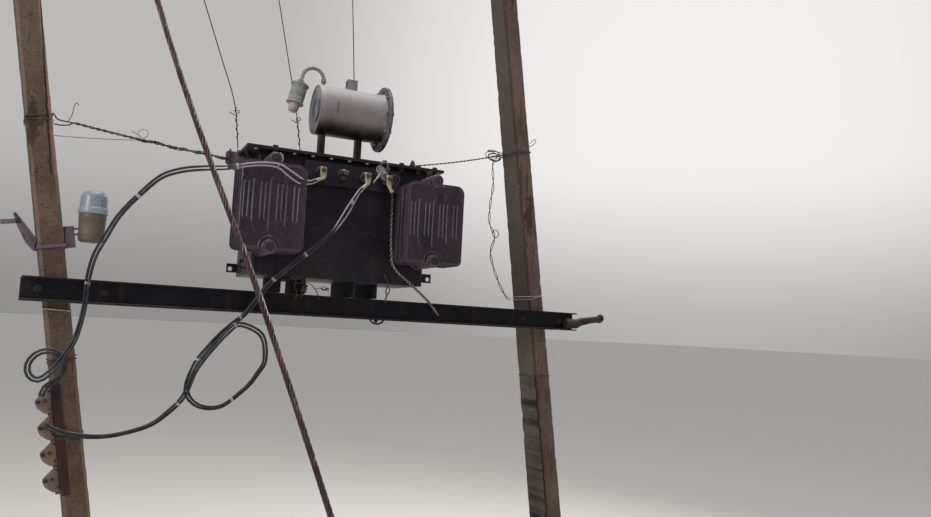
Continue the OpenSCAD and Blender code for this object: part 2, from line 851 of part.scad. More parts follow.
module breather_cup() {
    cup = 42;
    color([0.75, 0.73, 0.7]) on_tank() on_pipe_end() translate([0, 0, -drop_len - breather_l - cup])
        rotate_extrude($fn = 48) polygon([[0, 0], [18, 0], [24, 8], [26, 20], [26, cup], [0, cup]]);
}

// Left pole fittings

module pole_strap() {
    t = strap_t;
    z = platform_h + strap_z;
    w = pole_w / 2 + 0.5;
    d = pole_depth(z) / 2 + 0.5;
    color([0.2, 0.16, 0.18]) on_left_pole(z) translate([0, 0, -strap_h / 2]) difference() {
        translate([-w - t, -d - t, 0]) cube([2 * (w + t), 2 * (d + t), strap_h]);
        translate([-w, -d, -1]) cube([2 * w, 2 * d, strap_h + 2]);
    }
}

// A bent steel plate that leans out from the strap's left side, with a short arm
module left_bracket() {
    z = platform_h + strap_z;
    t = 6;
    w = pole_w / 2 + strap_t + 0.5;
    lean = 66;
    up = 150;
    color([0.24, 0.18, 0.22]) on_left_pole(z) translate([-w, -62, 0]) {
        translate([0, 60, 0]) rotate([90, 0, 0]) linear_extrude(60)
            polygon([[0, -14], [0, 16], [-lean, up], [-lean - t, up - 3], [-t, 12], [-t, -14]]);
        translate([-lean - 56, 0, up - 46]) cube([74, t, 20]);
    }
}

module right_bracket() {
    z = platform_h + strap_z;
    t = 6;
    w = pole_w / 2 + strap_t + 0.5;
    color([0.24, 0.18, 0.22]) on_left_pole(z) translate([w, -62, -12]) {
        cube([t, 56, 92]);
        cube([38, t, 92]);
    }
    color([0.24, 0.18, 0.22]) difference() {
        on_left_pole(z) for (h = [44, 68]) translate([w, -52, h]) rotate([0, 90, 0]) cylinder(d = 8, h = 70);
        on_canister() canister_body(gap);
    }
}

module on_canister() {
    translate([left_x + canister_x, -52, platform_h + canister_z]) children();
}

module canister_body(grow) {
    r = canister_d / 2 + grow;
    rotate_extrude($fn = 60)
        polygon([[0, -grow], [r - 12, -grow], [r - 6, 8], [r - 1, canister_h], [0, canister_h]]);
}

module canister() {
    color([0.36, 0.34, 0.31]) on_canister() canister_body(0);
}

module canister_cap() {
    r = canister_d / 2;
    h = canister_h;
    color([0.5, 0.56, 0.57]) on_canister() rotate_extrude($fn = 60)
        polygon([[0, h], [r + 2, h], [r + 3, h + 4], [r + 3, h + 24], [r - 1, h + 32], [r - 2, h + 74],
            [r - 10, h + 92], [r - 26, h + 100], [0, h + 102]]);
}

board_top = platform_h - 344;
board_len = fuse_units * fuse_unit_h;

module on_board() {
    on_left_pole(board_top) translate([-pole_w / 2, -pole_depth(board_top) / 2 + 24, -board_len]) children();
}

module fuse_board() {
    color([0.2, 0.15, 0.14]) on_board() {
        translate([-4, 0, -10]) cube([4, 40, board_len + 20]);
        translate([-22, 0, -10]) cube([22, 4, board_len + 20]);
    }
}

// Plates whose top edge falls towards a notched outer edge, one above the other
module fuse_units() {
    h = fuse_unit_h;
    w = fuse_unit_w;
    fall = 42;
    color([0.5, 0.38, 0.34]) on_board() for (i = [0 : fuse_units - 1]) translate([-4, 0, i * h + 2])
        rotate([90, 0, 0]) {
            linear_extrude(8) polygon([[0, 0], [0, h - 6], [-10, h - 4], [2 - w, h - 4 - fall],
                [-w, h - 16 - fall], [8 - w, 26], [26 - w, 8], [36 - w, 0]]);
            translate([16 - w, h / 2, 8]) cylinder(d = 18, h = 16);
            translate([40 - w, h / 2, 8]) cylinder(d = 14, h = 12);
        }
}

// Tie wires

// A loop of wire round a block of the given size, from a place on its right side all the way round
function corners(x, y) = [[x, y], [-x, y], [-x, -y], [x, -y]];
function loop_path(l, d, r, place) = let (out = wire_seat + wire_d / 2, x = l / 2 + out, y = d / 2 + out,
    turn = r + wire_d / 2, mids = corners(x - turn, y - turn))
    concat([[x, place, 0]],
        [for (k = [0 : 3], a = [0 : 30 : 90])
            [mids[k][0] + turn * cos(90 * k + a), mids[k][1] + turn * sin(90 * k + a), 0]],
        [[x, place - 2 * gap, 0]]);
module wire_loop(l, d, r, place) {
    tube(loop_path(l, d, r, place), wire_d, 1, 8, [0, 0, 1]);
}

// A sagging wire between two points
function sagging(a, b) = [for (k = [0 : 8])
    let (t = k / 8) a + t * (b - a) - [0, 0, 4 * t * (1 - t) * wire_sag]];

wire_seat = 0.5;
left_tie_y = -50;
right_tie_y = 60;
left_wire_top = platform_h + left_wire_z;
right_wire_top = platform_h + right_wire_z;
ring_z = cover_top + stud_nut + gap + wire_d / 2;
ring_r = stud_d / 2 + gap + wire_d / 2;
lug_x = lift_tip - 23;
lug_low = tank_h - rim_t - 0.55 * lift_foot + 2;
lug_high = cover_top + 2;

module tie_wires() {
    side = wire_seat + wire_d + gap;
    from_pole = [lean_x(0, left_lean, left_wire_top) + (pole_w / 2 + side) / cos(left_lean), left_tie_y,
        left_wire_top];
    to_lug = tank_point(-lug_x - wire_d / 2 - gap, -lift_t / 2 - wire_seat - wire_d / 2,
        (lug_low + lug_high) / 2);
    from_stud = tank_point(stud_x + ring_r + wire_d / 2 + gap, -stud_y, ring_z);
    to_pole = [lean_x(right_foot_x, right_lean, right_wire_top) - (pole_w / 2 + side) / cos(right_lean),
        right_tie_y, right_wire_top];
    color([0.25, 0.21, 0.2]) {
        on_left_pole(left_wire_top) wire_loop(pole_w, pole_depth(left_wire_top), pole_bevel, left_tie_y);
        tube(sagging(from_pole, to_lug), wire_d, 1, 8);
        on_tank() translate([-lug_x, 0, (lug_low + lug_high) / 2]) rotate([0, 90, 0])
            wire_loop(lug_high - lug_low, lift_t, 1, 0);
        on_tank() translate([stud_x, -stud_y, ring_z]) rotate_extrude() translate([ring_r, 0])
            circle(d = wire_d, $fn = 24);
        tube(sagging(from_stud, to_pole), wire_d, 1, 8);
        on_right_pole(right_wire_top) rotate([0, 0, 180])
            wire_loop(pole_w, pole_depth(right_wire_top), pole_bevel, -right_tie_y);
    }
}

// Top of the structure

arm_left = lean_x(0, left_lean, arm_z) - 190;
arm_right = lean_x(right_foot_x, right_lean, arm_z) + 190;

module cross_arm() {
    color([0.2, 0.2, 0.21]) difference() {
        translate([arm_left, arm_back, arm_z]) mirror([0, 1, 0])
            channel(arm_right - arm_left, arm_h, 40, 5, 6, 8);
        for (i = [-1 : 1]) translate([pin_mid_x + i * pin_pitch, pin_y, arm_z + arm_h / 2])
            cylinder(d = 22, h = arm_h);
    }
}

module arm_clamp(foot_x, lean) {
    t = 6;
    h = 50;
    w = pole_w / 2;
    d = pole_depth(arm_z) / 2 + 0.5;
    z = arm_z + arm_h / 2;
    translate([lean_x(foot_x, lean, z), 0, z]) rotate([0, -lean, 0]) translate([0, 0, -h / 2]) {
        translate([-w - t, -d - t, 0]) cube([2 * (w + t), t, h]);
        for (s = [-1, 1]) translate([s > 0 ? w : -w - t, -d - t, 0]) cube([t, 2 * d + t - 3, h]);
    }
}

module arm_clamps() {
    color([0.22, 0.21, 0.22]) {
        arm_clamp(0, left_lean);
        arm_clamp(right_foot_x, right_lean);
    }
}

pin_top = arm_z + arm_h;

module on_pin(i) {
    translate([pin_mid_x + i * pin_pitch, pin_y, pin_top]) children();
}

module insulator_pins() {
    below = 30;
    color([0.35, 0.34, 0.33]) for (i = [-1 : 1]) on_pin(i) {
        translate([0, 0, -below]) cylinder(d = pin_d, h = below + pin_len);
        cylinder(d = 2.3 * pin_d, h = 12);
        translate([0, 0, -25]) hex_head(1.7 * pin_d, 14);
    }
}

// An insulator with two skirts and a neck for the wire, turned from shares of its radius and its height
insulator_seat = 60;
module pin_insulators() {
    r = insulator_d / 2;
    h = insulator_h;
    color([0.28, 0.14, 0.09]) for (i = [-1 : 1]) on_pin(i) translate([0, 0, pin_len - insulator_seat])
        rotate_extrude($fn = 60) polygon([[pin_d / 2, 0], [0.43 * r, 0], [0.48 * r, 0.12 * h],
            [0.89 * r, 0.03 * h], [r, 0.07 * h], [0.68 * r, 0.23 * h], [0.52 * r, 0.3 * h],
            [0.75 * r, 0.33 * h], [0.8 * r, 0.38 * h],
            [0.57 * r, 0.51 * h], [0.39 * r, 0.58 * h], [neck_r, 0.66 * h], [neck_r, 0.73 * h],
            [0.43 * r, 0.78 * h], [0.43 * r, 0.89 * h], [0.3 * r, 0.97 * h], [0, h],
            [0, insulator_seat], [pin_d / 2, insulator_seat]]);
}

// The jumper wires from the insulators down to the bushings
jumper_d = 6;
neck_r = 0.3 * insulator_d / 2;
neck_z = pin_len - insulator_seat + 0.69 * insulator_h;
function hv_tip(i) = let (z = hv_len + 34, s = i * hv_splay,
    a = [z * sin(s), 0, z * cos(s)],
    b = [a[0], a[2] * sin(hv_slope), a[2] * cos(hv_slope)])
    tank_point(hv_pocket_x + i * hv_pitch + b[0], hv_mid_y + b[1], hv_mid_z + b[2]);
function jumper(i) = let (q = hv_tip(i), x = pin_mid_x + i * pin_pitch,
    p = [x, pin_y + neck_r + jumper_d / 2 + gap, pin_top + neck_z])
    [p, p + [6, 60, -6], p + [16, 110, -60], p + [40, 150, -500], (p + q) / 2 + [20, 90, 0],
        q + [-30, 30, 260], q + [-4, 6, 60], q];

module hv_jumpers() {
    color([0.3, 0.27, 0.24]) for (i = [-1 : 1]) tube(smooth(jumper(i), 320), jumper_d, 1, 8);
}

// Stay

stay_top = [lean_x(0, left_lean, stay_top_z) + (clamp_lug / 2 + gap) / cos(left_lean) + stay_d / 2,
    -pole_depth(stay_top_z) / 2 - 26, stay_top_z];
stay_foot = [anchor_x, -anchor_y, 0];
stay_dir = unit(stay_top - stay_foot);
stay_low = stay_foot + anchor_rise * stay_dir;

module stay_clamp() {
    t = 8;
    h = 50;
    w = pole_w / 2;
    d = pole_depth(stay_top_z) / 2 + 1;
    color([0.3, 0.26, 0.23]) on_left_pole(stay_top_z) {
        translate([0, 0, -h / 2]) difference() {
            translate([-w - t, -d - t, 0]) cube([2 * (w + t), 2 * (d + t), h]);
            translate([-w, -d, -1]) cube([2 * w, 2 * d, h + 2]);
        }
        translate([-clamp_lug / 2, -d - t - 22, -h / 2]) cube([clamp_lug, 23, h]);
    }
}

// Old bends of the wire, across its line, at shares of its length
stay_bends = [[0, 0], [0.1, 0], [0.2, 3], [0.3, 8], [0.38, 6], [0.44, -8], [0.5, -16], [0.56, -10], [0.62, 6],
    [0.68, 20], [0.76, 14], [0.86, 5], [0.94, 0], [1, 0]];
stay_side = unit(cross(stay_dir, [0, 1, 0]));

module stay_wire() {
    a = stay_low;
    b = stay_top;
    pts = [for (q = stay_bends) a + q[0] * (b - a) - q[1] * stay_side];
    color([0.35, 0.27, 0.25]) tube(pts, stay_d, 1, 8);
}

module stay_anchor() {
    r = 10;
    below = 40;
    tilt = acos(stay_dir[2]);
    turn = atan2(stay_dir[1], stay_dir[0]);
    eye_mid = anchor_rise - gap - eye_r - eye_t / 2;
    color([0.3, 0.24, 0.2]) intersection() {
        translate(stay_foot) rotate([0, 0, turn]) rotate([0, tilt, 0]) {
            translate([0, 0, -below]) cylinder(r = r, h = below + eye_mid - eye_r + 2);
            translate([0, 0, eye_mid]) rotate([90, 0, 0]) rotate_extrude() translate([eye_r, 0])
                circle(d = eye_t, $fn = 24);
        }
        translate([-far / 2, -far / 2, 0]) cube([far, far, far]);
    }
}

// A crooked piece of timber that lies in the front beam's trough, beside the last tie bolt
stub_d = beam_h - 2 * flange_root - stub_play;
flange_slope = (flange_root - flange_tip) / (beam_b - beam_web);
stub_x = tie_xs[3] + tie_d + 2;
stub_y = beam_back + beam_web + stub_d / 2 + gap;
stub_z = platform_h + flange_root - flange_slope * (stub_d / 2 + gap)
    + (stub_d / 2 + gap) * sqrt(1 + flange_slope * flange_slope);
// Sections along it: a share of its length, its rise and a share of its root's thickness
stub_sections = [[0, 0, 1], [0.29, 0, 1], [0.41, 12, 0.85], [0.57, 20, 0.73], [0.88, 33, 0.73],
    [0.93, 37, 0.94], [1, 40, 0.82]];

module timber_stub() {
    color([0.3, 0.26, 0.23]) for (i = [1 : len(stub_sections) - 1]) hull()
        for (s = [stub_sections[i - 1], stub_sections[i]])
            translate([stub_x + s[0] * stub_len, -stub_y, stub_z + s[1]]) rotate([0, 90, 0])
                cylinder(d = s[2] * stub_d, h = 1, $fn = 32);
}

// Cables between the low voltage lugs and the fuse board

cable_w = 24;
cable_flat = 0.5;
function lug_end(i) = let (a = lug_turn[i], l = 34)
    tank_point(lv_first + i * lv_pitch - l * sin(a), -lug_y - lug_t / 2, lv_axis_z - lug_palm_h - l * cos(a));
function lug_out(i) = let (a = lug_turn[i]) [-sin(a) * cos(tank_turn), sin(a) * sin(tank_turn), -cos(a)];

left_route = concat([lug_end(0), lug_end(0) + 25 * lug_out(0)], [
    [475, -420, 2990], [355, -480, 3030], [260, -478, 3022], [155, -458, 2995], [45, -430, 2980],
    [-25, -400, 2965],
    [-90, -365, 2935], [-155, -330, 2865], [-225, -285, 2770], [-270, -235, 2670], [-297, -195, 2600],
    [-310, -162, 2520], [-313, -155, 2450], [-316, -152, 2375], [-330, -160, 2290], [-348, -185, 2235],
    [-387, -205, 2166], [-425, -210, 2115], [-462, -208, 2088], [-495, -200, 2105], [-503, -192, 2145],
    [-480, -186, 2185], [-438, -182, 2203], [-396, -180, 2190], [-370, -178, 2150], [-374, -172, 2108],
    [-400, -152, 2078], [-430, -125, 2052], [-440, -98, 2015]]);

right_route = concat([lug_end(2), lug_end(2) + 25 * lug_out(2)], [
    [755, -350, 2930], [665, -335, 2775], [530, -270, 2640], [435, -195, 2530], [388, -164, 2450],
    [345, -162, 2390],
    [240, -175, 2295], [140, -190, 2160], [112, -192, 2050], [165, -188, 1985], [265, -182, 1980],
    [370, -177, 2060],
    [450, -177, 2190], [425, -182, 2300], [320, -196, 2345], [215, -216, 2250], [135, -216, 2130],
    [100, -204, 2025],
    [45, -182, 1955], [-20, -162, 1900], [-115, -140, 1865], [-205, -126, 1850], [-300, -114, 1855],
    [-370, -104, 1872], [-420, -98, 1896]]);

module lv_cable_left() {
    color([0.1, 0.11, 0.13]) tube(smooth(left_route, 90), cable_w, cable_flat, 8);
}

module lv_cable_right() {
    color([0.1, 0.11, 0.13]) tube(smooth(right_route, 90), cable_w, cable_flat, 8);
}

left_pole();
right_pole();
front_beam();
rear_beam();
tie_bolts();
base_channel_left();
base_channel_right();
tank();
tank_rim();
cover();
wall_stiffener();
lifting_lugs();
pulling_lugs();
earth_stud();
radiator_left();
radiator_right();
lv_pocket();
lv_bushings();
lv_studs();
lv_lugs();
hv_pocket();
hv_bushings();
hv_terminals();
conservator();
conservator_flange();
conservator_legs();
oil_gauge();
filler_box();
breather_pipe();
breather();
breather_cup();
pole_strap();
left_bracket();
right_bracket();
canister();
canister_cap();
fuse_board();
fuse_units();
tie_wires();
cross_arm();
arm_clamps();
insulator_pins();
pin_insulators();
hv_jumpers();
stay_clamp();
stay_wire();
stay_anchor();
timber_stub();
lv_cable_left();
lv_cable_right();
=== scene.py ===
# %% [markdown]
# A pole mounted transformer. Its solids come packed from the construction model, in metres, with the origin
# at the left pole's foot. This lesson dresses them: it gives every solid a finish, and puts finer meshes in
# place of those that are seen closely. The finer pieces stand where their solids stand, because both are
# made to the construction's own sizes.

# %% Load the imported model
import math
import bmesh
import bpy
import numpy as np
from mathutils import Matrix, Vector, noise


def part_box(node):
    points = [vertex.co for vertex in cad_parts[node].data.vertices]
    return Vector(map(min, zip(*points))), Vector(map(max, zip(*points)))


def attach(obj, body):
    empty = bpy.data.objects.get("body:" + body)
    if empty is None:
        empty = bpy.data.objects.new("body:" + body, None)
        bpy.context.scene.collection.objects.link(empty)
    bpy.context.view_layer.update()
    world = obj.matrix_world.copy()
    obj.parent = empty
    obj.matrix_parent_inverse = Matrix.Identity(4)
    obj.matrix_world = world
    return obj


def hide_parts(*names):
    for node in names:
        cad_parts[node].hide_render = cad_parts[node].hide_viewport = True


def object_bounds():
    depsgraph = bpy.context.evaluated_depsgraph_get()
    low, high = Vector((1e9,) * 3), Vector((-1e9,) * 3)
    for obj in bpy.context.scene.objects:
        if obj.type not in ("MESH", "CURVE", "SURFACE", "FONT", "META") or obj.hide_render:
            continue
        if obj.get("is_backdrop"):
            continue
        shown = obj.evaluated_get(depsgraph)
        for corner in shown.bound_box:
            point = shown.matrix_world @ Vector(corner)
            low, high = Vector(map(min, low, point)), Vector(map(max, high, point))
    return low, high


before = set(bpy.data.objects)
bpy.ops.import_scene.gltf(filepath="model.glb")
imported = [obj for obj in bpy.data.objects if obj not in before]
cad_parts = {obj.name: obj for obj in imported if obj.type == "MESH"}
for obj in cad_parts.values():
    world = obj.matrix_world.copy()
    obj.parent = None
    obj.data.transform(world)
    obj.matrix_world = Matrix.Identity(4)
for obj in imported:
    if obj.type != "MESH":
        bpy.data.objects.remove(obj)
CAD_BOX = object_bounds()
print("solids:", len(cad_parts), "box:", [round(v, 3) for corner in CAD_BOX for v in corner])

# %% [markdown]
# The camera stands in front of the platform, to its left and just below it, and looks up a little. A lens
# is given in millimetres for a sensor 36 mm wide, so a focal length in pixels is scaled by the width of the
# picture. Three angles turn it: to the right, up, and a small roll because the camera was held at a slant.

# %% Camera
PICTURE_WIDTH = 931
FOCAL_PIXELS = 807.65
SENSOR_WIDTH = 36
FARTHEST = 1500
EYE = Vector((-0.6177, -3.8465, 2.3663))
LOOK_RIGHT = math.radians(29.698)
LOOK_UP = math.radians(5.131)
ROLL = math.radians(2.936)
QUARTER = math.pi / 2


def shift(x, y, z):
    return Matrix.Translation((x, y, z))


def spin(angle, axis="Z"):
    return Matrix.Rotation(angle, 4, axis)


camera = bpy.data.objects.new("camera", bpy.data.cameras.new("camera"))
bpy.context.scene.collection.objects.link(camera)
camera.data.sensor_width = SENSOR_WIDTH
camera.data.lens = SENSOR_WIDTH * FOCAL_PIXELS / PICTURE_WIDTH
camera.data.clip_end = FARTHEST
camera.matrix_world = shift(*EYE) @ spin(-LOOK_RIGHT) @ spin(QUARTER + LOOK_UP, "X") @ spin(ROLL)
bpy.context.scene.camera = camera
print("lens", round(camera.data.lens, 2), "mm")

# %% [markdown]
# Most shapes here are skins: rings of points, joined ring to ring. A pole, a wire, a turned porcelain and a
# hexagon nut are all the same skin with other rings. So one small function joins rings, and each helper
# only says where the rings lie. A part is a pair of points and faces, and a piece is one or more parts
# joined into one mesh.

# %% Helpers that join rings of points
MM = 0.001


def skin(rings, around=True, ends=True):
    """Joins rings of points, all with as many points, and closes the first and the last."""
    count = len(rings)
    size = len(rings[0])
    points = np.concatenate([np.asarray(ring, float) for ring in rings])
    span = size if around else size - 1
    faces = []
    for i in range(count - 1):
        for j in range(span):
            k = (j + 1) % size
            faces.append((i * size + j, i * size + k, (i + 1) * size + k, (i + 1) * size + j))
    if ends:
        faces.append(tuple(range(size - 1, -1, -1)))
        faces.append(tuple(range((count - 1) * size, count * size)))
    return points, faces


def moved(part, place):
    """A part carried to a place, which is a 4 x 4 matrix."""
    place = np.array(place)
    return part[0] @ place[:3, :3].T + place[:3, 3], part[1]


def full_turn(steps):
    """Angles that go once round, without the last one, which is the first again."""
    return np.linspace(0, 2 * math.pi, steps, endpoint=False)


def circle(radius, steps):
    turn = full_turn(steps)
    return np.stack([radius * np.cos(turn), radius * np.sin(turn), np.zeros(steps)], axis=1)


def turned_part(profile, steps):
    """A shape turned about Z. The profile is a list of radius and height."""
    return skin([circle(radius, steps) + np.array((0, 0, height)) for radius, height in profile])


def lathe(profile, steps, base=0.0):
    """The same in millimetres, with radii counted from a base radius, and None for a point on the axis."""
    return turned_part([(0 if out is None else base + out * MM, level * MM) for out, level in profile], steps)


def frames_along(path):
    """The direction at each point of a path, and two across it that don't spin."""
    path = np.asarray(path, float)
    ahead = np.gradient(path, axis=0)
    ahead /= np.linalg.norm(ahead, axis=1)[:, None]
    first = (0, 0, 1) if abs(ahead[0][2]) < 0.9 else (0, 1, 0)
    side = np.cross(ahead[0], first)
    sides = []
    for along in ahead:
        side = side - along * np.dot(side, along)
        side /= np.linalg.norm(side)
        sides.append(side)
    sides = np.array(sides)
    return ahead, sides, np.cross(ahead, sides)


def rod(path, radius, steps):
    """A round rod along a path. The radius is one number, or one for each point."""
    path = np.asarray(path, float)
    _, side, up = frames_along(path)
    radii = np.broadcast_to(radius, len(path))
    turn = full_turn(steps)
    rings = []
    for i, point in enumerate(path):
        across = np.outer(np.cos(turn), side[i]) + np.outer(np.sin(turn), up[i])
        rings.append(point + radii[i] * across)
    return skin(rings)


def lengths(path):
    """How far along a path each of its points lies."""
    steps = np.linalg.norm(np.diff(path, axis=0), axis=1)
    return np.concatenate([[0], np.cumsum(steps)])


def wound(path, offset, pitch, start):
    """A line wound round a path like a strand of a rope."""
    path = np.asarray(path, float)
    _, side, up = frames_along(path)
    turn = 2 * math.pi * lengths(path) / pitch + start
    return path + offset * (np.cos(turn)[:, None] * side + np.sin(turn)[:, None] * up)


def smooth(points, step):
    """A smooth curve through the points, with a new point about every step."""
    p = [np.array(q, float) for q in points]
    made = []
    for i in range(len(p) - 1):
        a, b, c, d = p[max(i - 1, 0)], p[i], p[i + 1], p[min(i + 2, len(p) - 1)]
        count = max(1, round(float(np.linalg.norm(c - b)) / step))
        for k in range(count):
            t = k / count
            made.append(0.5 * (2 * b + (c - a) * t + (2 * a - 5 * b + 4 * c - d) * t * t
                               + (3 * b - a - 3 * c + d) * t ** 3))
    made.append(p[-1])
    return np.array(made)


def in_metres(points):
    """Points given in millimetres, as a list of arrays."""
    return [np.array(p) * MM for p in points]


print("a smooth line through 3 points has", len(smooth([(0, 0, 0), (1, 0, 0), (1, 1, 0)], 0.1)), "points")

# %% [markdown]
# Plates and blocks of steel never have knife edges, and a small bevel is what catches the light. Blender
# can bevel any mesh with bmesh, so a block or a cut plate is made there and handed back as a part like the
# others. A nut is a skin of hexagons whose first and last ring are a little smaller, which gives its
# chamfer.

# %% Helpers for plates, blocks and bolts
WASHER = 0.003
NUT_RINGS = ((0.93, 0), (1, 0.14), (1, 0.86), (0.9, 1))


def from_bmesh(work):
    work.verts.index_update()
    points = np.array([v.co[:] for v in work.verts])
    faces = [tuple(v.index for v in f.verts) for f in work.faces]
    work.free()
    return points, faces


def bevel_edges(work, edges, width):
    bmesh.ops.bevel(work, geom=edges, offset=width, segments=2, affect="EDGES", profile=0.5)


def block(size, bevel, place):
    """A block centred on its place, with bevelled edges."""
    work = bmesh.new()
    bmesh.ops.create_cube(work, size=1)
    bmesh.ops.scale(work, vec=size, verts=work.verts)
    bevel_edges(work, work.edges[:], bevel)
    return moved(from_bmesh(work), place)


def plate(outline, thick, place, bevel):
    """A plate cut to an outline in millimetres, in X and Y, which rises from Z = 0."""
    work = bmesh.new()
    face = work.faces.new([work.verts.new((x * MM, y * MM, 0)) for x, y in outline])
    grown = bmesh.ops.extrude_face_region(work, geom=[face])
    risen = [g for g in grown["geom"] if isinstance(g, bmesh.types.BMVert)]
    bmesh.ops.translate(work, vec=(0, 0, thick), verts=risen)
    rims = [e for e in work.edges if abs(e.verts[0].co.z - e.verts[1].co.z) < thick / 2]
    bevel_edges(work, rims, bevel)
    return moved(from_bmesh(work), place)


def nut(across, height):
    """A hexagon nut or bolt head on Z = 0, with chamfered corners."""
    corner = across / math.sqrt(3)
    return skin([circle(corner * grown, 6) + np.array((0, 0, height * level)) for grown, level in NUT_RINGS])


def bolt(place, across, head, tail=0.0):
    """A washer and a hexagon on Z = 0 of its place, with the thread's end past it where it has a tail."""
    rim, thread = 0.62 * across, 0.3 * across
    parts = [turned_part([(0, 0), (rim, 0), (0.66 * across, MM), (rim, WASHER), (0, WASHER)], 20),
             moved(nut(across, head), shift(0, 0, WASHER))]
    if tail:
        top = WASHER + head + tail
        end = [(0, head), (thread, head), (thread, top - MM), (thread - MM, top), (0, top)]
        parts.append(turned_part(end, 16))
    return [moved(part, place) for part in parts]


def facing(point, direction, angle=0.0):
    """A place whose Z looks in a direction."""
    turn = Vector(direction).to_track_quat("Z", "Y").to_matrix().to_4x4()
    return shift(*point) @ turn @ spin(angle)


print("a nut has", len(nut(0.02, 0.01)[0]), "points")


# %% [markdown]
# Every mesh that is added goes through one function. It joins the parts, merges doubled points, turns all
# faces outward, shades them smooth but keeps real edges sharp, and lets the piece ride with the packed
# body. Wherever a mesh stands for a plain solid, that solid is hidden.

# %% One function that makes a piece
MERGE = 1e-6
triangles_made = {}


def piece(name, parts, material, replaces=(), sharp=38):
    points = []
    faces = []
    base = 0
    for part_points, part_faces in parts:
        points.append(part_points)
        faces += [tuple(base + i for i in face) for face in part_faces]
        base += len(part_points)
    mesh = bpy.data.meshes.new(name)
    mesh.from_pydata(np.concatenate(points).tolist(), [], faces)
    work = bmesh.new()
    work.from_mesh(mesh)
    bmesh.ops.remove_doubles(work, verts=work.verts, dist=MERGE)
    bmesh.ops.recalc_face_normals(work, faces=work.faces)
    triangles_made[name] = sum(len(f.verts) - 2 for f in work.faces)
    work.to_mesh(mesh)
    work.free()
    mesh.polygons.foreach_set("use_smooth", [True] * len(mesh.polygons))
    mesh.set_sharp_from_angle(angle=math.radians(sharp))
    mesh.materials.append(material)
    made = bpy.data.objects.new(name, mesh)
    bpy.context.scene.collection.objects.link(made)
    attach(made, "root")
    if replaces:
        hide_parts(*replaces)
    print(f"{name}: {triangles_made[name]} triangles")
    return made


# %% [markdown]
# Everything on the transformer is placed in the tank's own frame, which sits a little turned on its beams.
# The two poles lean, so their fittings are placed in frames that lean with them. These few values are the
# driving sizes of the construction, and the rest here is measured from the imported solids.

# %% The tank's frame and the poles' frames
TANK_TURN = math.radians(4.7)
LEFT_LEAN = math.radians(9.8)
RIGHT_LEAN = math.radians(8.6)
POLE_HEIGHT = 6.5
POLE_WIDTH = 0.1
POLE_FOOT_DEPTH = 0.215
POLE_TOP_DEPTH = 0.11

tank_low, tank_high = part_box("tank")
tank_middle = (tank_low + tank_high) / 2
TANK = shift(tank_middle.x, tank_middle.y, tank_low.z) @ spin(-TANK_TURN)
RIGHT_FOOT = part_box("right_pole")[1].x - POLE_WIDTH / 2 / math.cos(RIGHT_LEAN)
BEAM_LOW, BEAM_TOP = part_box("front_beam")[0].z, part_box("front_beam")[1].z


def on_tank(x, y, z):
    """A place on the transformer, in metres from the middle of the tank's bottom."""
    return TANK @ shift(x, y, z)


def tank_point(x, y, z):
    return np.array(on_tank(x, y, z).translation)


def pole_stand(side):
    """How far a pole leans, and where its foot is."""
    return (LEFT_LEAN, 0.0) if side == "left" else (RIGHT_LEAN, RIGHT_FOOT)


def on_pole(side, z):
    """A place on a pole's axis at a height, with its Z along the pole."""
    lean, foot = pole_stand(side)
    return shift(foot - z * math.tan(lean), 0, z) @ spin(-lean, "Y")


def pole_depth(z):
    return POLE_FOOT_DEPTH + (POLE_TOP_DEPTH - POLE_FOOT_DEPTH) * z / POLE_HEIGHT


print("tank turned", round(math.degrees(TANK_TURN), 1), "degrees, right foot at", round(RIGHT_FOOT, 3))

# %% [markdown]
# A finish is a Principled shader with nodes that change its colour, roughness and normal over the surface.
# What several finishes share, such as rust or runs of dirt, is built once as a node group and placed in
# each with its own values. Noise in the object's own coordinates needs no unwrapping, and it is the same
# from every side. Colours are written as screen colours from 0 to 255, and turned into the linear ones that
# shaders use.

# %% Helpers that build nodes
def linear_colour(screen):
    return (*[(v / 255 / 12.92 if v <= 10 else ((v / 255 + 0.055) / 1.055) ** 2.4) for v in screen], 1.0)


def join(tree, value, socket):
    """Feeds a socket from another socket, or sets its number or its screen colour."""
    if isinstance(value, bpy.types.NodeSocket):
        tree.links.new(value, socket)
    else:
        socket.default_value = linear_colour(value) if isinstance(value, tuple) else value


def maths(tree, operation, first, second=0.0, clamp=False):
    made = tree.nodes.new("ShaderNodeMath")
    made.operation = operation
    made.use_clamp = clamp
    join(tree, first, made.inputs[0])
    join(tree, second, made.inputs[1])
    return made.outputs[0]


def weighted(tree, *terms):
    """The sum of some values, each times its own weight."""
    total = None
    for value, weight in terms:
        share = value if weight == 1 else maths(tree, "MULTIPLY", value, weight)
        total = share if total is None else maths(tree, "ADD", total, share)
    return total


def ramp(tree, value, low, high, out_low=0.0, out_high=1.0):
    """A value from low to high as a soft step."""
    made = tree.nodes.new("ShaderNodeMapRange")
    made.interpolation_type = "SMOOTHSTEP"
    for socket, number in zip(made.inputs, (value, low, high, out_low, out_high)):
        join(tree, number, socket)
    return made.outputs[0]


def mixed(tree, mask, below, above):
    """Two colours, mixed by a mask."""
    made = tree.nodes.new("ShaderNodeMix")
    made.data_type = "RGBA"
    for index, value in ((0, mask), (6, below), (7, above)):
        join(tree, value, made.inputs[index])
    return made.outputs[2]


def place_of(tree, stretch=(1, 1, 1)):
    """The point on the surface in metres, stretched along an axis where runs or grain need it."""
    where = tree.nodes.new("ShaderNodeTexCoord")
    scaled = tree.nodes.new("ShaderNodeMapping")
    scaled.inputs["Scale"].default_value = stretch
    tree.links.new(where.outputs["Object"], scaled.inputs["Vector"])
    return scaled.outputs[0]


def split(tree, vector):
    """The X, Y and Z of a vector, by name."""
    made = tree.nodes.new("ShaderNodeSeparateXYZ")
    tree.links.new(vector, made.inputs[0])
    return made.outputs


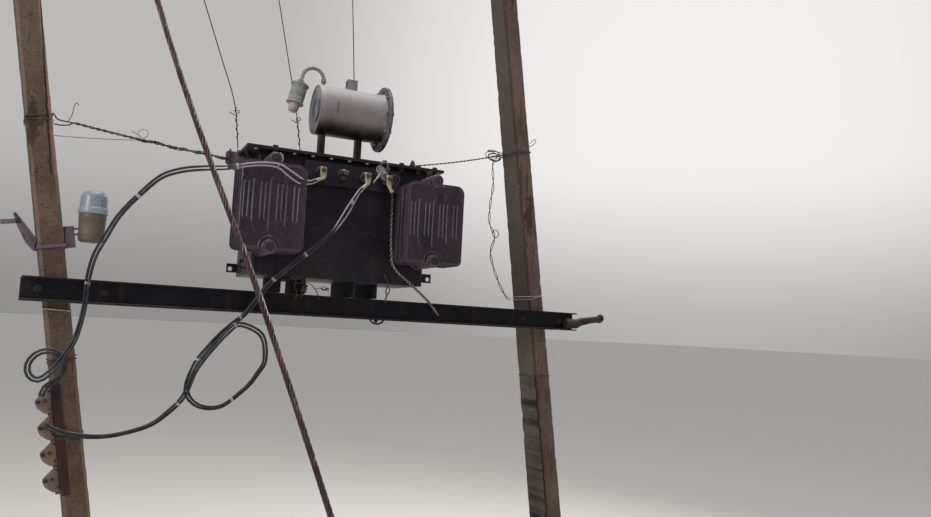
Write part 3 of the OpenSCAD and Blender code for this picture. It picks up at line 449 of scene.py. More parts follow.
def normal_of(tree):
    return tree.nodes.new("ShaderNodeNewGeometry").outputs["Normal"]


def distance_to(tree, vector, spot):
    made = tree.nodes.new("ShaderNodeVectorMath")
    made.operation = "DISTANCE"
    made.inputs[1].default_value = spot
    tree.links.new(vector, made.inputs[0])
    return made.outputs["Value"]


def speckle(tree, scale, where, detail, rough=0.55):
    made = tree.nodes.new("ShaderNodeTexNoise")
    join(tree, scale, made.inputs["Scale"])
    made.inputs["Detail"].default_value = detail
    made.inputs["Roughness"].default_value = rough
    tree.links.new(where, made.inputs["Vector"])
    return made.outputs["Fac"]


def new_group(name, inputs, outputs):
    """An empty node group with named number inputs and named outputs."""
    tree = bpy.data.node_groups.new(name, "ShaderNodeTree")
    for label, value in inputs.items():
        socket = tree.interface.new_socket(label, in_out="INPUT", socket_type="NodeSocketFloat")
        socket.default_value = value
    for label, kind in outputs.items():
        tree.interface.new_socket(label, in_out="OUTPUT", socket_type=kind)
    given = tree.nodes.new("NodeGroupInput")
    asked = tree.nodes.new("NodeGroupOutput")
    return tree, given.outputs, asked.inputs


def use(tree, group, **values):
    """Places a node group in a tree and answers its outputs."""
    made = tree.nodes.new("ShaderNodeGroup")
    made.node_tree = group
    for label, value in values.items():
        join(tree, value, made.inputs[label])
    return made.outputs


def mask_of(tree, group, **values):
    return use(tree, group, **values)["Mask"]


MASK = "NodeSocketFloat"
COLOUR = "NodeSocketColor"

# %% [markdown]
# Patches: paint and concrete are never one colour. Two noises of different size, one in the other, give
# cloudy patches with broken edges. The group puts out a mask, and each finish mixes its own two colours
# with it.

# %% Node group for patches
patches, given, asked = new_group("patches", {"Scale": 6.0, "Low": 0.4, "High": 0.65}, {"Mask": MASK})
spot = place_of(patches)
broad = speckle(patches, given["Scale"], spot, 5)
fine = speckle(patches, maths(patches, "MULTIPLY", given["Scale"], 9), spot, 3)
clouds = weighted(patches, (broad, 0.75), (fine, 0.25))
join(patches, ramp(patches, clouds, given["Low"], given["High"]), asked["Mask"])

# %% [markdown]
# Runs: rain washes dirt, oil and rust down a wall, so runs are noise that is squeezed sideways and
# stretched along Z. A second, coarser noise breaks them up, because real runs start at a bolt or a seam and
# fade out below it.

# %% Node group for runs
runs, given, asked = new_group("runs", {"Scale": 30.0, "Amount": 0.5}, {"Mask": MASK})
fall = speckle(runs, given["Scale"], place_of(runs, (1, 1, 0.06)), 3)
broken = speckle(runs, maths(runs, "MULTIPLY", given["Scale"], 0.18), place_of(runs), 2)
edge = weighted(runs, (given["Amount"], -0.5), (0.86, 1))
level = weighted(runs, (fall, 0.7), (broken, 0.42))
join(runs, ramp(runs, level, maths(runs, "SUBTRACT", edge, 0.12), edge), asked["Mask"])

# %% [markdown]
# Rust starts as small spots that grow together. A fine noise inside a broad one makes such spots, and the
# same values raise the surface a little, because rust swells. Its colour is a dark and a lighter brown,
# mixed by the fine noise.

# %% Node group for rust
RUST_DEEP = (58, 36, 30)
RUST_LIGHT = (112, 68, 46)
rust, given, asked = new_group("rust", {"Scale": 14.0, "Amount": 0.3},
                               {"Mask": MASK, "Color": COLOUR, "Height": MASK})
spot = place_of(rust)
broad = speckle(rust, given["Scale"], spot, 6, 0.65)
crumbs = speckle(rust, maths(rust, "MULTIPLY", given["Scale"], 14), spot, 3)
grown = weighted(rust, (broad, 0.72), (crumbs, 0.28))
edge = weighted(rust, (given["Amount"], -0.5), (0.78, 1))
covered = ramp(rust, grown, maths(rust, "SUBTRACT", edge, 0.05), maths(rust, "ADD", edge, 0.03))
join(rust, covered, asked["Mask"])
join(rust, mixed(rust, ramp(rust, crumbs, 0.35, 0.65), RUST_DEEP, RUST_LIGHT), asked["Color"])
join(rust, maths(rust, "MULTIPLY", covered, crumbs), asked["Height"])

# %% [markdown]
# Worn edges: paint goes first where a surface turns sharply. A Bevel node answers what the normal would be
# if the edges were rounded, and where that differs from the real normal there is an edge. Noise breaks the
# line up, or it would look drawn with a ruler.

# %% Node group for worn edges
worn, given, asked = new_group("worn edges", {"Width": 0.004, "Amount": 0.5}, {"Mask": MASK})
rounded = worn.nodes.new("ShaderNodeBevel")
rounded.samples = 4
join(worn, given["Width"], rounded.inputs["Radius"])
alike = worn.nodes.new("ShaderNodeVectorMath")
alike.operation = "DOT_PRODUCT"
worn.links.new(rounded.outputs[0], alike.inputs[0])
worn.links.new(normal_of(worn), alike.inputs[1])
turning = maths(worn, "SUBTRACT", 1.0, alike.outputs["Value"])
chips = speckle(worn, 90.0, place_of(worn), 4)
broken = maths(worn, "MULTIPLY", turning, ramp(worn, chips, 0.36, 0.62, 0.2, 3.0))
bared = maths(worn, "MULTIPLY", ramp(worn, broken, 0.02, 0.16), given["Amount"], clamp=True)
join(worn, bared, asked["Mask"])

# %% [markdown]
# Dust settles on what looks up. The Z of the surface's normal says how level a place is, and noise thins
# the layer. It is pale, so it also shows where a dark beam or cover has an upper side.

# %% Node group for dust
dust, given, asked = new_group("dust", {"Amount": 0.5, "Scale": 25.0}, {"Mask": MASK})
level = ramp(dust, split(dust, normal_of(dust))["Z"], 0.35, 0.95)
thin = ramp(dust, speckle(dust, given["Scale"], place_of(dust), 5), 0.3, 0.7, 0.35, 1.0)
join(dust, maths(dust, "MULTIPLY", maths(dust, "MULTIPLY", level, thin), given["Amount"]), asked["Mask"])
print("node groups:", [g.name for g in bpy.data.node_groups])

# %% [markdown]
# Painted steel is most of this object: the tank, the radiators, the beams. One function builds it, and each
# paint is a call with its own colours and its own amounts of each effect. The gloss, which is even, is set
# on the shader itself, while the roughness follows the rust and the dust.

# %% Painted steel
DUST = (150, 140, 128)
PAINT_CLOUDS = 5.0
PAINT_GRAIN = 260.0
PAINT_WAVES = 18.0
PAINT_RISE = 0.0006
ROUGH = 0.9


def new_material(name, roughness, specular, metal=0.0):
    material = bpy.data.materials.new(name)
    material.use_nodes = True
    tree = material.node_tree
    shader = next(n for n in tree.nodes if n.type == "BSDF_PRINCIPLED")
    shader.inputs["Roughness"].default_value = roughness
    shader.inputs["Specular IOR Level"].default_value = specular
    shader.inputs["Metallic"].default_value = metal
    return material, tree, shader


def raise_surface(tree, shader, height, distance):
    """Feeds a height into a Bump node and that into the shader."""
    bump = tree.nodes.new("ShaderNodeBump")
    bump.inputs["Distance"].default_value = distance
    bump.inputs["Strength"].default_value = 1.0
    join(tree, height, bump.inputs["Height"])
    tree.links.new(bump.outputs[0], shader.inputs["Normal"])


def painted(name, paint, patch, roughness, specular, rusting, wear, bare, dusty, running=0.4,
            run=(40, 34, 34), edge=0.004):
    """Old paint: two tones, runs down it, worn edges, rust and dust."""
    material, tree, shader = new_material(name, roughness, specular)
    colour = mixed(tree, mask_of(tree, patches, Scale=PAINT_CLOUDS), paint, patch)
    colour = mixed(tree, mask_of(tree, runs, Amount=running), colour, run)
    rusted = use(tree, rust, Amount=rusting)
    colour = mixed(tree, rusted["Mask"], colour, rusted["Color"])
    colour = mixed(tree, mask_of(tree, worn, Width=edge, Amount=wear), colour, bare)
    settled = mask_of(tree, dust, Amount=dusty)
    join(tree, mixed(tree, settled, colour, DUST), shader.inputs["Base Color"])
    rougher = maths(tree, "MAXIMUM", rusted["Mask"], settled)
    join(tree, ramp(tree, rougher, 0.0, 1.0, roughness, ROUGH), shader.inputs["Roughness"])
    where = place_of(tree)
    height = weighted(tree, (speckle(tree, PAINT_GRAIN, where, 2), 0.35), (rusted["Height"], 1),
                      (speckle(tree, PAINT_WAVES, where, 2), 0.8))
    raise_surface(tree, shader, height, PAINT_RISE)
    return material


TANK_PAINT = painted("tank paint", (27, 23, 33), (42, 35, 48), 0.42, 0.28, 0.06, 0.35, (84, 76, 88),
                     0.35, 0.3)
# The wide worn-edge mask on the radiators is partly worn paint and partly a painted highlight on the flanks
# and crests of the ribs.
RADIATOR_PAINT = painted("radiator paint", (42, 29, 40), (53, 39, 52), 0.36, 0.5, 0.04, 0.5, (112, 96, 114),
                         0.25, 0.3, (30, 22, 29), edge=0.007)
COVER_PAINT = painted("cover paint", (20, 18, 23), (32, 28, 33), 0.5, 0.25, 0.2, 0.5, (96, 86, 82), 0.3, 0.3)
BEAM_PAINT = painted("beam paint", (17, 17, 24), (29, 28, 35), 0.48, 0.22, 0.16, 0.45, (84, 76, 74),
                     0.45, 0.3)
BRACKET_STEEL = painted("bracket steel", (92, 75, 88), (108, 92, 103), 0.6, 0.25, 0.12, 0.5, (134, 118, 122),
                        0.4, 0.15)
RUST_DARK = painted("dark rust", (48, 32, 30), (66, 44, 40), 0.7, 0.2, 0.3, 0.4, (96, 74, 68), 0.2)
BOLT_STEEL = painted("bolt steel", (38, 33, 37), (60, 51, 52), 0.6, 0.25, 0.25, 0.4, (104, 92, 88), 0.35)
LEG_PAINT = painted("leg paint", (92, 84, 90), (70, 52, 56), 0.55, 0.25, 0.2, 0.5, (128, 116, 116), 0.4, 0.5)
FLANGE_PAINT = painted("flange paint", (112, 110, 120), (92, 89, 98), 0.5, 0.3, 0.1, 0.5, (150, 146, 150),
                       0.3)
CHANNEL_PAINT = painted("channel paint", (13, 12, 15), (22, 20, 23), 0.8, 0.1, 0.08, 0.4, (70, 64, 64), 0.2)
RIGHT_CHANNEL_PAINT = painted("right channel paint", (34, 37, 44), (26, 28, 33), 0.75, 0.12, 0.1, 0.5,
                              (88, 86, 88), 0.2)
print("painted finishes:", len(bpy.data.materials))

# %% [markdown]
# Precast concrete is grey-brown, pocked with small air holes and stained by rain and rust. The poles also
# have long cracks where the steel inside has rusted. A crack is a line that wanders, so its mask measures
# how far a point lies from a wandering line: a noise that depends on the height alone shifts the line to
# and fro.

# %% Node group for a wandering crack
CRACK_INPUTS = {"Along": 0.0, "Start": 0.0, "Slope": 0.0, "Top": 1.0, "Bottom": 0.0, "Wander": 0.02,
                "Width": 0.0045}
cracks, given, asked = new_group("cracks", CRACK_INPUTS, {"Mask": MASK})
height = split(cracks, place_of(cracks))["Z"]
line = cracks.nodes.new("ShaderNodeCombineXYZ")
cracks.links.new(height, line.inputs["Z"])
sway = maths(cracks, "SUBTRACT", speckle(cracks, 13.0, line.outputs[0], 6, 0.6), 0.5)
fallen = maths(cracks, "SUBTRACT", height, given["Top"])
side = weighted(cracks, (fallen, given["Slope"]), (given["Start"], 1), (sway, given["Wander"]))
off = maths(cracks, "ABSOLUTE", maths(cracks, "SUBTRACT", given["Along"], side))
inside = maths(cracks, "MULTIPLY", maths(cracks, "LESS_THAN", height, given["Top"]),
               maths(cracks, "GREATER_THAN", height, given["Bottom"]))
join(cracks, maths(cracks, "MULTIPLY", ramp(cracks, off, given["Width"], 0.0), inside), asked["Mask"])

# %% Concrete
BLOTCH_SQUASH = 0.3
CHIP_ASIDE = 0.02
CHIP_WIDTH = 0.016
RAIN_STAIN = (74, 62, 54)
PALE_GRIT = (146, 132, 118)
PIT = (48, 42, 38)
CRACK = (26, 22, 20)


def layered(tree, colour, layers):
    """Lays colours over one another, each where its mask says."""
    for mask, tone in layers:
        colour = mixed(tree, mask, colour, tone)
    return colour


def concrete(name, plain, stain, rusty, side_shade, edge_tone, low_tone, crack, chip, blotch):
    """Weathered concrete with air holes, stains, one long crack and a dark blotch on its front."""
    material, tree, shader = new_material(name, 0.85, 0.2)
    where = place_of(tree)
    point = split(tree, where)
    sideways = maths(tree, "ABSOLUTE", split(tree, normal_of(tree))["X"])
    corner = maths(tree, "MULTIPLY", ramp(tree, sideways, 0.3, 0.5),
                   ramp(tree, sideways, 0.92, 0.8, 0.0, 0.75))
    rust_spots = speckle(tree, 3.2, place_of(tree, (1, 1, 0.35)), 6, 0.65)
    holes = tree.nodes.new("ShaderNodeTexVoronoi")
    holes.inputs["Scale"].default_value = 70
    tree.links.new(where, holes.inputs["Vector"])
    pits = maths(tree, "MULTIPLY", ramp(tree, holes.outputs["Distance"], 0.24, 0.1),
                 ramp(tree, speckle(tree, 22.0, where, 2), 0.44, 0.54))
    x, y, z = blotch
    away = distance_to(tree, place_of(tree, (1, 1, BLOTCH_SQUASH)), (x, y, z * BLOTCH_SQUASH))
    ragged = weighted(tree, (away, 1), (speckle(tree, 34.0, where, 5, 0.75), 0.12))
    low = maths(tree, "ADD", point["Z"], speckle(tree, 5.0, where, 4))
    start, slope, top, bottom = crack
    line = {"Along": point["X"], "Slope": slope, "Top": top, "Bottom": bottom}
    chipped_off = mask_of(tree, cracks, Start=start + CHIP_ASIDE, Width=CHIP_WIDTH, **line)
    cracked = mask_of(tree, cracks, Start=start, **line)
    colour = mixed(tree, mask_of(tree, patches, Scale=4.5, Low=0.38, High=0.66), plain, stain)
    colour = layered(tree, colour, [
        (mask_of(tree, runs, Scale=46.0, Amount=0.28), RAIN_STAIN),
        # Painted shade: the side faces, which face along X, get a darker tone. The chamfers get a tone of
        # their own, a painted highlight on the left pole.
        (ramp(tree, sideways, 0.75, 0.9, 0.0, 0.8), side_shade),
        (corner, edge_tone),
        (ramp(tree, speckle(tree, 150.0, where, 5, 0.75), 0.42, 0.62, 0.0, 0.5), stain),
        (ramp(tree, speckle(tree, 95.0, where, 4, 0.7), 0.56, 0.68, 0.0, 0.4), PALE_GRIT),
        (ramp(tree, rust_spots, 0.6, 0.78, 0.0, 0.45), rusty),
        (ramp(tree, ragged, 0.1, 0.078, 0.0, 0.85), rusty),
        (pits, PIT),
        (ramp(tree, low, 2.9, 1.9, 0.0, 0.3), low_tone),
        (maths(tree, "MULTIPLY", chipped_off, 0.75), chip),
        (cracked, CRACK)])
    join(tree, colour, shader.inputs["Base Color"])
    sand = speckle(tree, 420.0, where, 3, 0.7)
    lumps = speckle(tree, 38.0, where, 4)
    height = weighted(tree, (sand, 0.25), (lumps, 0.7), (pits, -0.9), (cracked, -1.6))
    raise_surface(tree, shader, height, 0.0022)
    return material


# Each pole's side tone is painted shade, and the left pole's pale chamfer tone is a painted highlight.
LEFT_CONCRETE = concrete("left concrete", (104, 88, 75), (80, 66, 56), (52, 44, 38), (88, 76, 66),
                         (122, 106, 92), (84, 60, 47), (-0.597, -0.14, 3.75, 2.93), (142, 98, 80),
                         (-0.572, -0.08, 3.12))
RIGHT_CONCRETE = concrete("right concrete", (114, 97, 88), (88, 73, 66), (64, 45, 41), (82, 79, 75),
                          (56, 46, 45), (66, 56, 50), (2.018, -0.15, 2.14, 0.35), (92, 72, 62),
                          (1.926, -0.08, 3.03))

# %% [markdown]
# Bare metals. Galvanised steel is a dull zinc grey with a faint cloud, and tinned copper is paler. The stay
# is a strand of rusty wires. Metal shows its surroundings, so its look is in its roughness, which follows
# the rust.

# %% Bare and rusty metals
METAL_CLOUDS = 22.0
METAL_RUST = 30.0
METAL_GRAIN = 300.0
METAL_RISE = 0.0004
RUSTED_ROUGHNESS = 0.85


def metal_finish(name, bright, dull, rusting, roughness, metal):
    """Bare metal, clouded and partly rusted."""
    material, tree, shader = new_material(name, roughness, 0.4, metal)
    colour = mixed(tree, mask_of(tree, patches, Scale=METAL_CLOUDS), bright, dull)
    rusted = use(tree, rust, Scale=METAL_RUST, Amount=rusting)
    join(tree, mixed(tree, rusted["Mask"], colour, rusted["Color"]), shader.inputs["Base Color"])
    join(tree, ramp(tree, rusted["Mask"], 0.0, 1.0, roughness, RUSTED_ROUGHNESS), shader.inputs["Roughness"])
    join(tree, ramp(tree, rusted["Mask"], 0.0, 1.0, metal, 0.0), shader.inputs["Metallic"])
    height = maths(tree, "ADD", speckle(tree, METAL_GRAIN, place_of(tree), 2), rusted["Height"])
    raise_surface(tree, shader, height, METAL_RISE)
    return material


GALVANISED = metal_finish("galvanised steel", (128, 126, 124), (94, 92, 92), 0.25, 0.5, 0.7)
RUSTY_STEEL = metal_finish("rusty steel", (96, 84, 76), (66, 54, 48), 0.75, 0.6, 0.4)
STRAND = metal_finish("stay strand", (88, 68, 74), (58, 43, 49), 0.2, 0.42, 0.4)
TINNED = metal_finish("tinned copper", (186, 176, 162), (150, 136, 120), 0.25, 0.45, 0.35)
# Near white: painted light on the stubs in the cover's front holes, standing for the sky seen through them.
PAINTED_SKY_STEEL = metal_finish("painted sky light", (232, 230, 230), (214, 212, 212), 0.0, 0.6, 0.0)
BRASS = metal_finish("stud brass", (112, 82, 64), (82, 58, 46), 0.3, 0.5, 0.4)
GAUGE_FACE = metal_finish("gauge face", (116, 118, 130), (92, 94, 106), 0.05, 0.4, 0.2)
TIE_WIRE = metal_finish("tie wire", (84, 74, 74), (54, 44, 46), 0.25, 0.5, 0.4)
PALE_WIRE = metal_finish("pale wire", (186, 180, 170), (146, 136, 124), 0.1, 0.5, 0.3)
print("finishes so far:", len(bpy.data.materials))

# %% [markdown]
# Glaze and plastics are layers too. Brown glaze has a clear, glossy coat over an uneven brown, so the coat
# weight is high and dust lies on the sheds. The cable's sheath is a dull black polymer, pale grey on its
# upper side.

# %% Glaze, plastics and sheath
def coated(name, base, cloud, roughness, specular, coat=0.0, running=0.3, run=(60, 54, 50), dusty=0.3,
           dust_colour=DUST, rise=0.0003, scale=9.0):
    """A smooth moulded or glazed skin with clouds, runs and dust."""
    material, tree, shader = new_material(name, roughness, specular)
    shader.inputs["Coat Weight"].default_value = coat
    shader.inputs["Coat Roughness"].default_value = 0.08
    settled = mask_of(tree, dust, Amount=dusty)
    colour = mixed(tree, mask_of(tree, patches, Scale=scale), base, cloud)
    colour = layered(tree, colour, [
        (mask_of(tree, runs, Scale=52.0, Amount=running), run),
        (settled, dust_colour)])
    join(tree, colour, shader.inputs["Base Color"])
    join(tree, ramp(tree, settled, 0.0, 0.6, roughness, 0.85), shader.inputs["Roughness"])
    raise_surface(tree, shader, speckle(tree, 40.0, place_of(tree), 3), rise)
    return material


BROWN_GLAZE = coated("brown glaze", (66, 30, 20), (92, 44, 28), 0.25, 0.5, 0.6, 0.3, (40, 26, 22), 0.12)
BUSHING_DARK = coated("dark bushing", (22, 18, 20), (36, 30, 32), 0.4, 0.35, 0.3, 0.2, (14, 12, 14), 0.3)
PIPE_PAINT = coated("pipe paint", (138, 136, 142), (118, 114, 120), 0.5, 0.35, 0.0, 0.2, (96, 88, 84), 0.4)
BREATHER_STAIN = coated("breather stain", (130, 108, 72), (104, 86, 60), 0.6, 0.3)
BREATHER_PAINT = coated("breather paint", (140, 141, 137), (124, 125, 121), 0.45, 0.4, 0.0, 0.15,
                        (134, 122, 96))
CUP_PLASTIC = coated("cup plastic", (186, 168, 164), (164, 144, 140), 0.35, 0.45, 0.2, 0.2,
                     (130, 108, 100), 0.2)
CAN_PAINT = coated("canister paint", (104, 94, 82), (88, 80, 72), 0.5, 0.35, 0.0, 0.15, (72, 62, 54))
CAP_PAINT = coated("cap paint", (136, 148, 158), (112, 124, 134), 0.4, 0.45, 0.2, 0.12, (104, 102, 98))
BOARD_PAINT = coated("board paint", (124, 108, 98), (108, 93, 85), 0.6, 0.25, 0.0, 0.25, (92, 70, 62))
# Its dust mask is set high with a pale grey, which makes the sheath pale grey on its upper side.
SHEATH = coated("cable sheath", (30, 32, 38), (54, 56, 62), 0.55, 0.35, 0.0, 0.2, (70, 70, 74), 0.75,
                (150, 150, 148), 0.0006, 30.0)
SHEATH_DARK = coated("dark sheath", (24, 25, 30), (44, 45, 52), 0.5, 0.35, 0.0, 0.2, (60, 60, 66))
BINDING = coated("binding tape", (176, 170, 160), (140, 132, 124), 0.6, 0.3, 0.0, 0.3, (110, 96, 84))

# %% [markdown]
# Two finishes get a last touch. On the radiators the hollows of the pressing get a painted shade and its
# crests a painted highlight, placed by how the mesh bends at each vertex, which Blender reads. The cables'
# sheath is bleached near the bushings, within some distance of two places.

# %% Painted shade and highlight on the pressing, and the bleached sheath
HOLLOW_BEND = (0.42, 0.485)
CREST_BEND = (0.515, 0.6)
BLEACH_FADE = 0.06


def colour_of(material):
    """A finish's nodes, the socket of its colour, and what feeds that socket."""
    tree = material.node_tree
    socket = next(n for n in tree.nodes if n.type == "BSDF_PRINCIPLED").inputs["Base Color"]
    return tree, socket, socket.links[0].from_socket


def painted_pressing_shade(material, hollow_shade, crest):
    """Paints shade into the hollows of a pressing and a highlight onto its crests."""
    tree, socket, colour = colour_of(material)
    bent = tree.nodes.new("ShaderNodeNewGeometry").outputs["Pointiness"]
    join(tree, layered(tree, colour, [(ramp(tree, bent, HOLLOW_BEND[1], HOLLOW_BEND[0], 0.0, 0.9), hollow_shade),
                                      (ramp(tree, bent, *CREST_BEND, 0.0, 0.7), crest)]), socket)


def bare_near(material, spots, bare):
    """Gives a finish another colour within a radius of each of a few places."""
    tree, socket, colour = colour_of(material)
    for spot, radius in spots:
        away = distance_to(tree, place_of(tree), spot)
        colour = mixed(tree, ramp(tree, away, radius, radius - BLEACH_FADE), colour, bare)
    join(tree, colour, socket)


# Painted shade in the hollows of the radiators' pressing and a painted highlight on its crests.
painted_pressing_shade(RADIATOR_PAINT, (17, 10, 17), (90, 74, 90))
bare_near(SHEATH, [((0.42, -0.42, 3.0), 0.26), ((0.8, -0.33, 2.98), 0.24)], (158, 152, 156))
print("nodes of the radiator's paint:", len(RADIATOR_PAINT.node_tree.nodes))

# %% [markdown]
# The drum is pale grey paint, lighter on top as a painted highlight of the light from above, and black
# below. That change goes with height round the drum, so its mask compares Z with the axis, and noise makes
# the border crawl up in runs.

# %% The drum's paint
DRUM_DIAMETER = 0.25
DRUM_LEFT = -0.128
DRUM_LENGTH = 0.35
DRUM_AXIS = 0.857
DRUM_Z = tank_point(0, 0, DRUM_AXIS)[2]


def drum_finish():
    material, tree, shader = new_material("drum paint", 0.45, 0.35)
    where = place_of(tree)
    crawl = maths(tree, "SUBTRACT", speckle(tree, 16.0, place_of(tree, (1, 1, 0.3)), 5), 0.5)
    level = weighted(tree, (maths(tree, "SUBTRACT", split(tree, where)["Z"], DRUM_Z), 1), (crawl, 0.035))
    # Darker towards the bottom of the drum, and glossier there.
    dark_below = ramp(tree, level, -0.045, -0.12)
    rusted = use(tree, rust, Amount=0.04)
    colour = mixed(tree, mask_of(tree, patches, Scale=7.0), (138, 132, 132), (127, 120, 120))
    colour = layered(tree, colour, [
        # A painted highlight: the drum is lighter on top, where the light from above falls.
        (ramp(tree, level, 0.0, 0.115, 0.0, 0.8), (172, 168, 170)),
        (mask_of(tree, runs, Scale=40.0, Amount=0.16), (104, 96, 94)),
        (dark_below, (26, 22, 26)),
        (rusted["Mask"], rusted["Color"]),
        (mask_of(tree, worn, Amount=0.3), (178, 172, 168))])
    join(tree, colour, shader.inputs["Base Color"])
    join(tree, ramp(tree, dark_below, 0.0, 1.0, 0.5, 0.3), shader.inputs["Roughness"])
    raise_surface(tree, shader, speckle(tree, 30.0, where, 4), 0.0008)
    return material


DRUM_PAINT = drum_finish()
print("the drum's axis is at", round(DRUM_Z, 3))

# %% [markdown]
# Old timber is grey and furrowed along its length. Noise that is squeezed along X gives the furrows, both
# as colour and as height.

# %% Timber's finish
def timber_finish():
    material, tree, shader = new_material("old timber", 0.85, 0.2)
    furrows = speckle(tree, 60.0, place_of(tree, (0.12, 1, 1)), 5, 0.7)
    colour = mixed(tree, ramp(tree, furrows, 0.35, 0.65), (34, 27, 27), (72, 60, 56))
    join(tree, mixed(tree, mask_of(tree, dust, Amount=0.12), colour, DUST), shader.inputs["Base Color"])
    raise_surface(tree, shader, furrows, 0.003)
    return material


TIMBER = timber_finish()
print("finishes:", len(bpy.data.materials))

# %% [markdown]
# The two low voltage cables are flat twins: two sheathed conductors side by side. They hang free from the
# bushings to the fuse board, and they follow the same route points as their plain solids. The pair twists
# slowly, opens at its first end, and is held together by bands.

# %% Routes of the two cables, in millimetres
LUG_BARREL = 0.034
CORE_RADIUS = 0.0056
ROUTE_STEP = 0.02
ROUGH_STEP = 0.09
BAND_HALF = 0.006
BAND_WIDE = CORE_RADIUS * 2 + 0.0022
BAND_THICK = CORE_RADIUS + 0.0014
BAND_RINGS = ((-1, 0.93), (-0.8, 1), (0.8, 1), (1, 0.93))

LEFT_ROUTE = [
    (593.7, -302.1, 3023), (571.7, -300.3, 3011.3), (475, -420, 2990), (355, -480, 3030),
    (260, -478, 3022), (155, -458, 2995), (45, -430, 2980), (-25, -400, 2965), (-90, -365, 2935),
    (-155, -330, 2865), (-225, -285, 2770), (-270, -235, 2670), (-297, -195, 2600), (-310, -162, 2520),
    (-313, -155, 2450), (-316, -152, 2375), (-330, -160, 2290), (-348, -185, 2235), (-387, -205, 2166),
    (-425, -210, 2115), (-462, -208, 2088), (-495, -200, 2105), (-503, -192, 2145), (-480, -186, 2185),
    (-438, -182, 2203), (-396, -180, 2190), (-370, -178, 2150), (-374, -172, 2108), (-400, -152, 2078),
    (-430, -125, 2052), (-440, -98, 2015)]
RIGHT_ROUTE = [
    (816.3, -320.4, 3013.7), (799.6, -319, 2995.1), (755, -350, 2930), (665, -335, 2775),
    (530, -270, 2640), (435, -195, 2530), (388, -164, 2450), (345, -162, 2390), (240, -175, 2295),
    (140, -190, 2160), (112, -192, 2050), (165, -188, 1985), (265, -182, 1980), (370, -177, 2060),
    (450, -177, 2190), (425, -182, 2300), (320, -196, 2345), (215, -216, 2250), (135, -216, 2130),
    (100, -204, 2025), (45, -182, 1955), (-20, -162, 1900), (-115, -140, 1865), (-205, -126, 1850),
    (-300, -114, 1855), (-370, -104, 1872), (-420, -98, 1896)]
print("route points:", len(LEFT_ROUTE), "and", len(RIGHT_ROUTE))


# %% A twin cable and its bands
def oval_band(strip, across, wide, thick):
    """A band round a pair of cores, with an oval section."""
    ahead = strip[-1] - strip[0]
    ahead /= np.linalg.norm(ahead)
    across = across - ahead * np.dot(ahead, across)
    across /= np.linalg.norm(across)
    turn = full_turn(24)
    section = np.outer(np.cos(turn) * wide, across) + np.outer(np.sin(turn) * thick, np.cross(ahead, across))
    middle = (strip[0] + strip[-1]) / 2
    return skin([middle + ahead * share * BAND_HALF + grown * section for share, grown in BAND_RINGS])


def twin_cable(name, route, node, spread_at_start, bare_for, bands):
    """Two cores along a route, which lie apart over the first stretch and are held by bands further on."""
    line = smooth(smooth(in_metres(route), ROUGH_STEP), ROUTE_STEP)
    along = lengths(line)
    ahead = frames_along(line)[0]
    flat = np.cross(ahead, (0, 1, 0))
    flat /= np.linalg.norm(flat, axis=1)[:, None]
    slow_turn = 0.5 * np.sin(along * 3.1) + 0.25 * np.sin(along * 7.3 + 1)
    across = np.cos(slow_turn)[:, None] * flat + np.sin(slow_turn)[:, None] * np.cross(flat, ahead)
    opened = np.exp(-((along - spread_at_start) / (0.45 * spread_at_start)) ** 2)
    apart = (CORE_RADIUS + 0.0004 + 0.0008 * (1 + np.sin(along * 11)) + 0.0055 * opened)[:, None]
    radius = CORE_RADIUS * np.interp(along, (0, bare_for, bare_for + 0.12), (0.62, 0.66, 1))
    cores = [rod(line + across * apart, radius, 10), rod(line - across * apart, radius, 10)]
    made = piece(name, cores, SHEATH, replaces=[node])
    held = []
    for place in bands:
        i = int(np.argmin(abs(along - place)))
        strip = smooth(line[i - 2:i + 3], BAND_HALF)
        start = (len(strip) - 3) // 2
        held.append(oval_band(strip[start:start + 3], across[i], BAND_WIDE, BAND_THICK))
    ties = piece(name + "_bands", held, BINDING)
    print(f"{name}: {along[-1]:.2f} m long")


twin_cable("lv_cable_left_twin", LEFT_ROUTE, "lv_cable_left", 0.22, 0.55, [0.5, 0.92, 1.35])
twin_cable("lv_cable_right_twin", RIGHT_ROUTE, "lv_cable_right", 0.16, 0.3,
           [0.1, 0.43, 0.62, 0.84, 1.12, 1.5, 1.98, 2.4])

# %% [markdown]
# The stay is a strand: six wires laid round a seventh. Modelled as seven rods, it twists like the real one
# and its outline is ridged. It is old and a little kinked, so its line bends to the side by a few
# millimetres. It is taut, so it isn't a cord.

# %% The stay's line
STAY_DIAMETER = 0.019
STAY_TOP_Z = 6.01
STAY_ASIDE = 0.0139
CLAMP_OUT = 0.026
ANCHOR = np.array((0.765, -2.4, 0))
ANCHOR_RISE = 0.33
STAY_STEP = 0.011
STAY_BENDS = [(0, 0), (0.1, 0), (0.2, 3), (0.3, 8), (0.38, 6), (0.44, -8), (0.5, -16), (0.56, -10), (0.62, 6),
              (0.68, 20), (0.76, 14), (0.86, 5), (0.94, 0), (1, 0)]
stay_top = np.array((STAY_ASIDE - STAY_TOP_Z * math.tan(LEFT_LEAN), -pole_depth(STAY_TOP_Z) / 2 - CLAMP_OUT,
                     STAY_TOP_Z))
stay_way = (stay_top - ANCHOR) / np.linalg.norm(stay_top - ANCHOR)
stay_low = ANCHOR + ANCHOR_RISE * stay_way
stay_side = np.cross(stay_way, (0, 1, 0))
stay_side /= np.linalg.norm(stay_side)
stay_points = [stay_low + share * (stay_top - stay_low) - bend * MM * stay_side for share, bend in STAY_BENDS]
stay_line = smooth(stay_points, STAY_STEP)
print("the stay is", round(lengths(stay_line)[-1], 2), "m long")

# %% [markdown]
# At both ends the strand turns in a loop and comes back along itself under three wire clips. A clip is a
# U-bolt over the two ropes, with a saddle and two nuts on the other side.

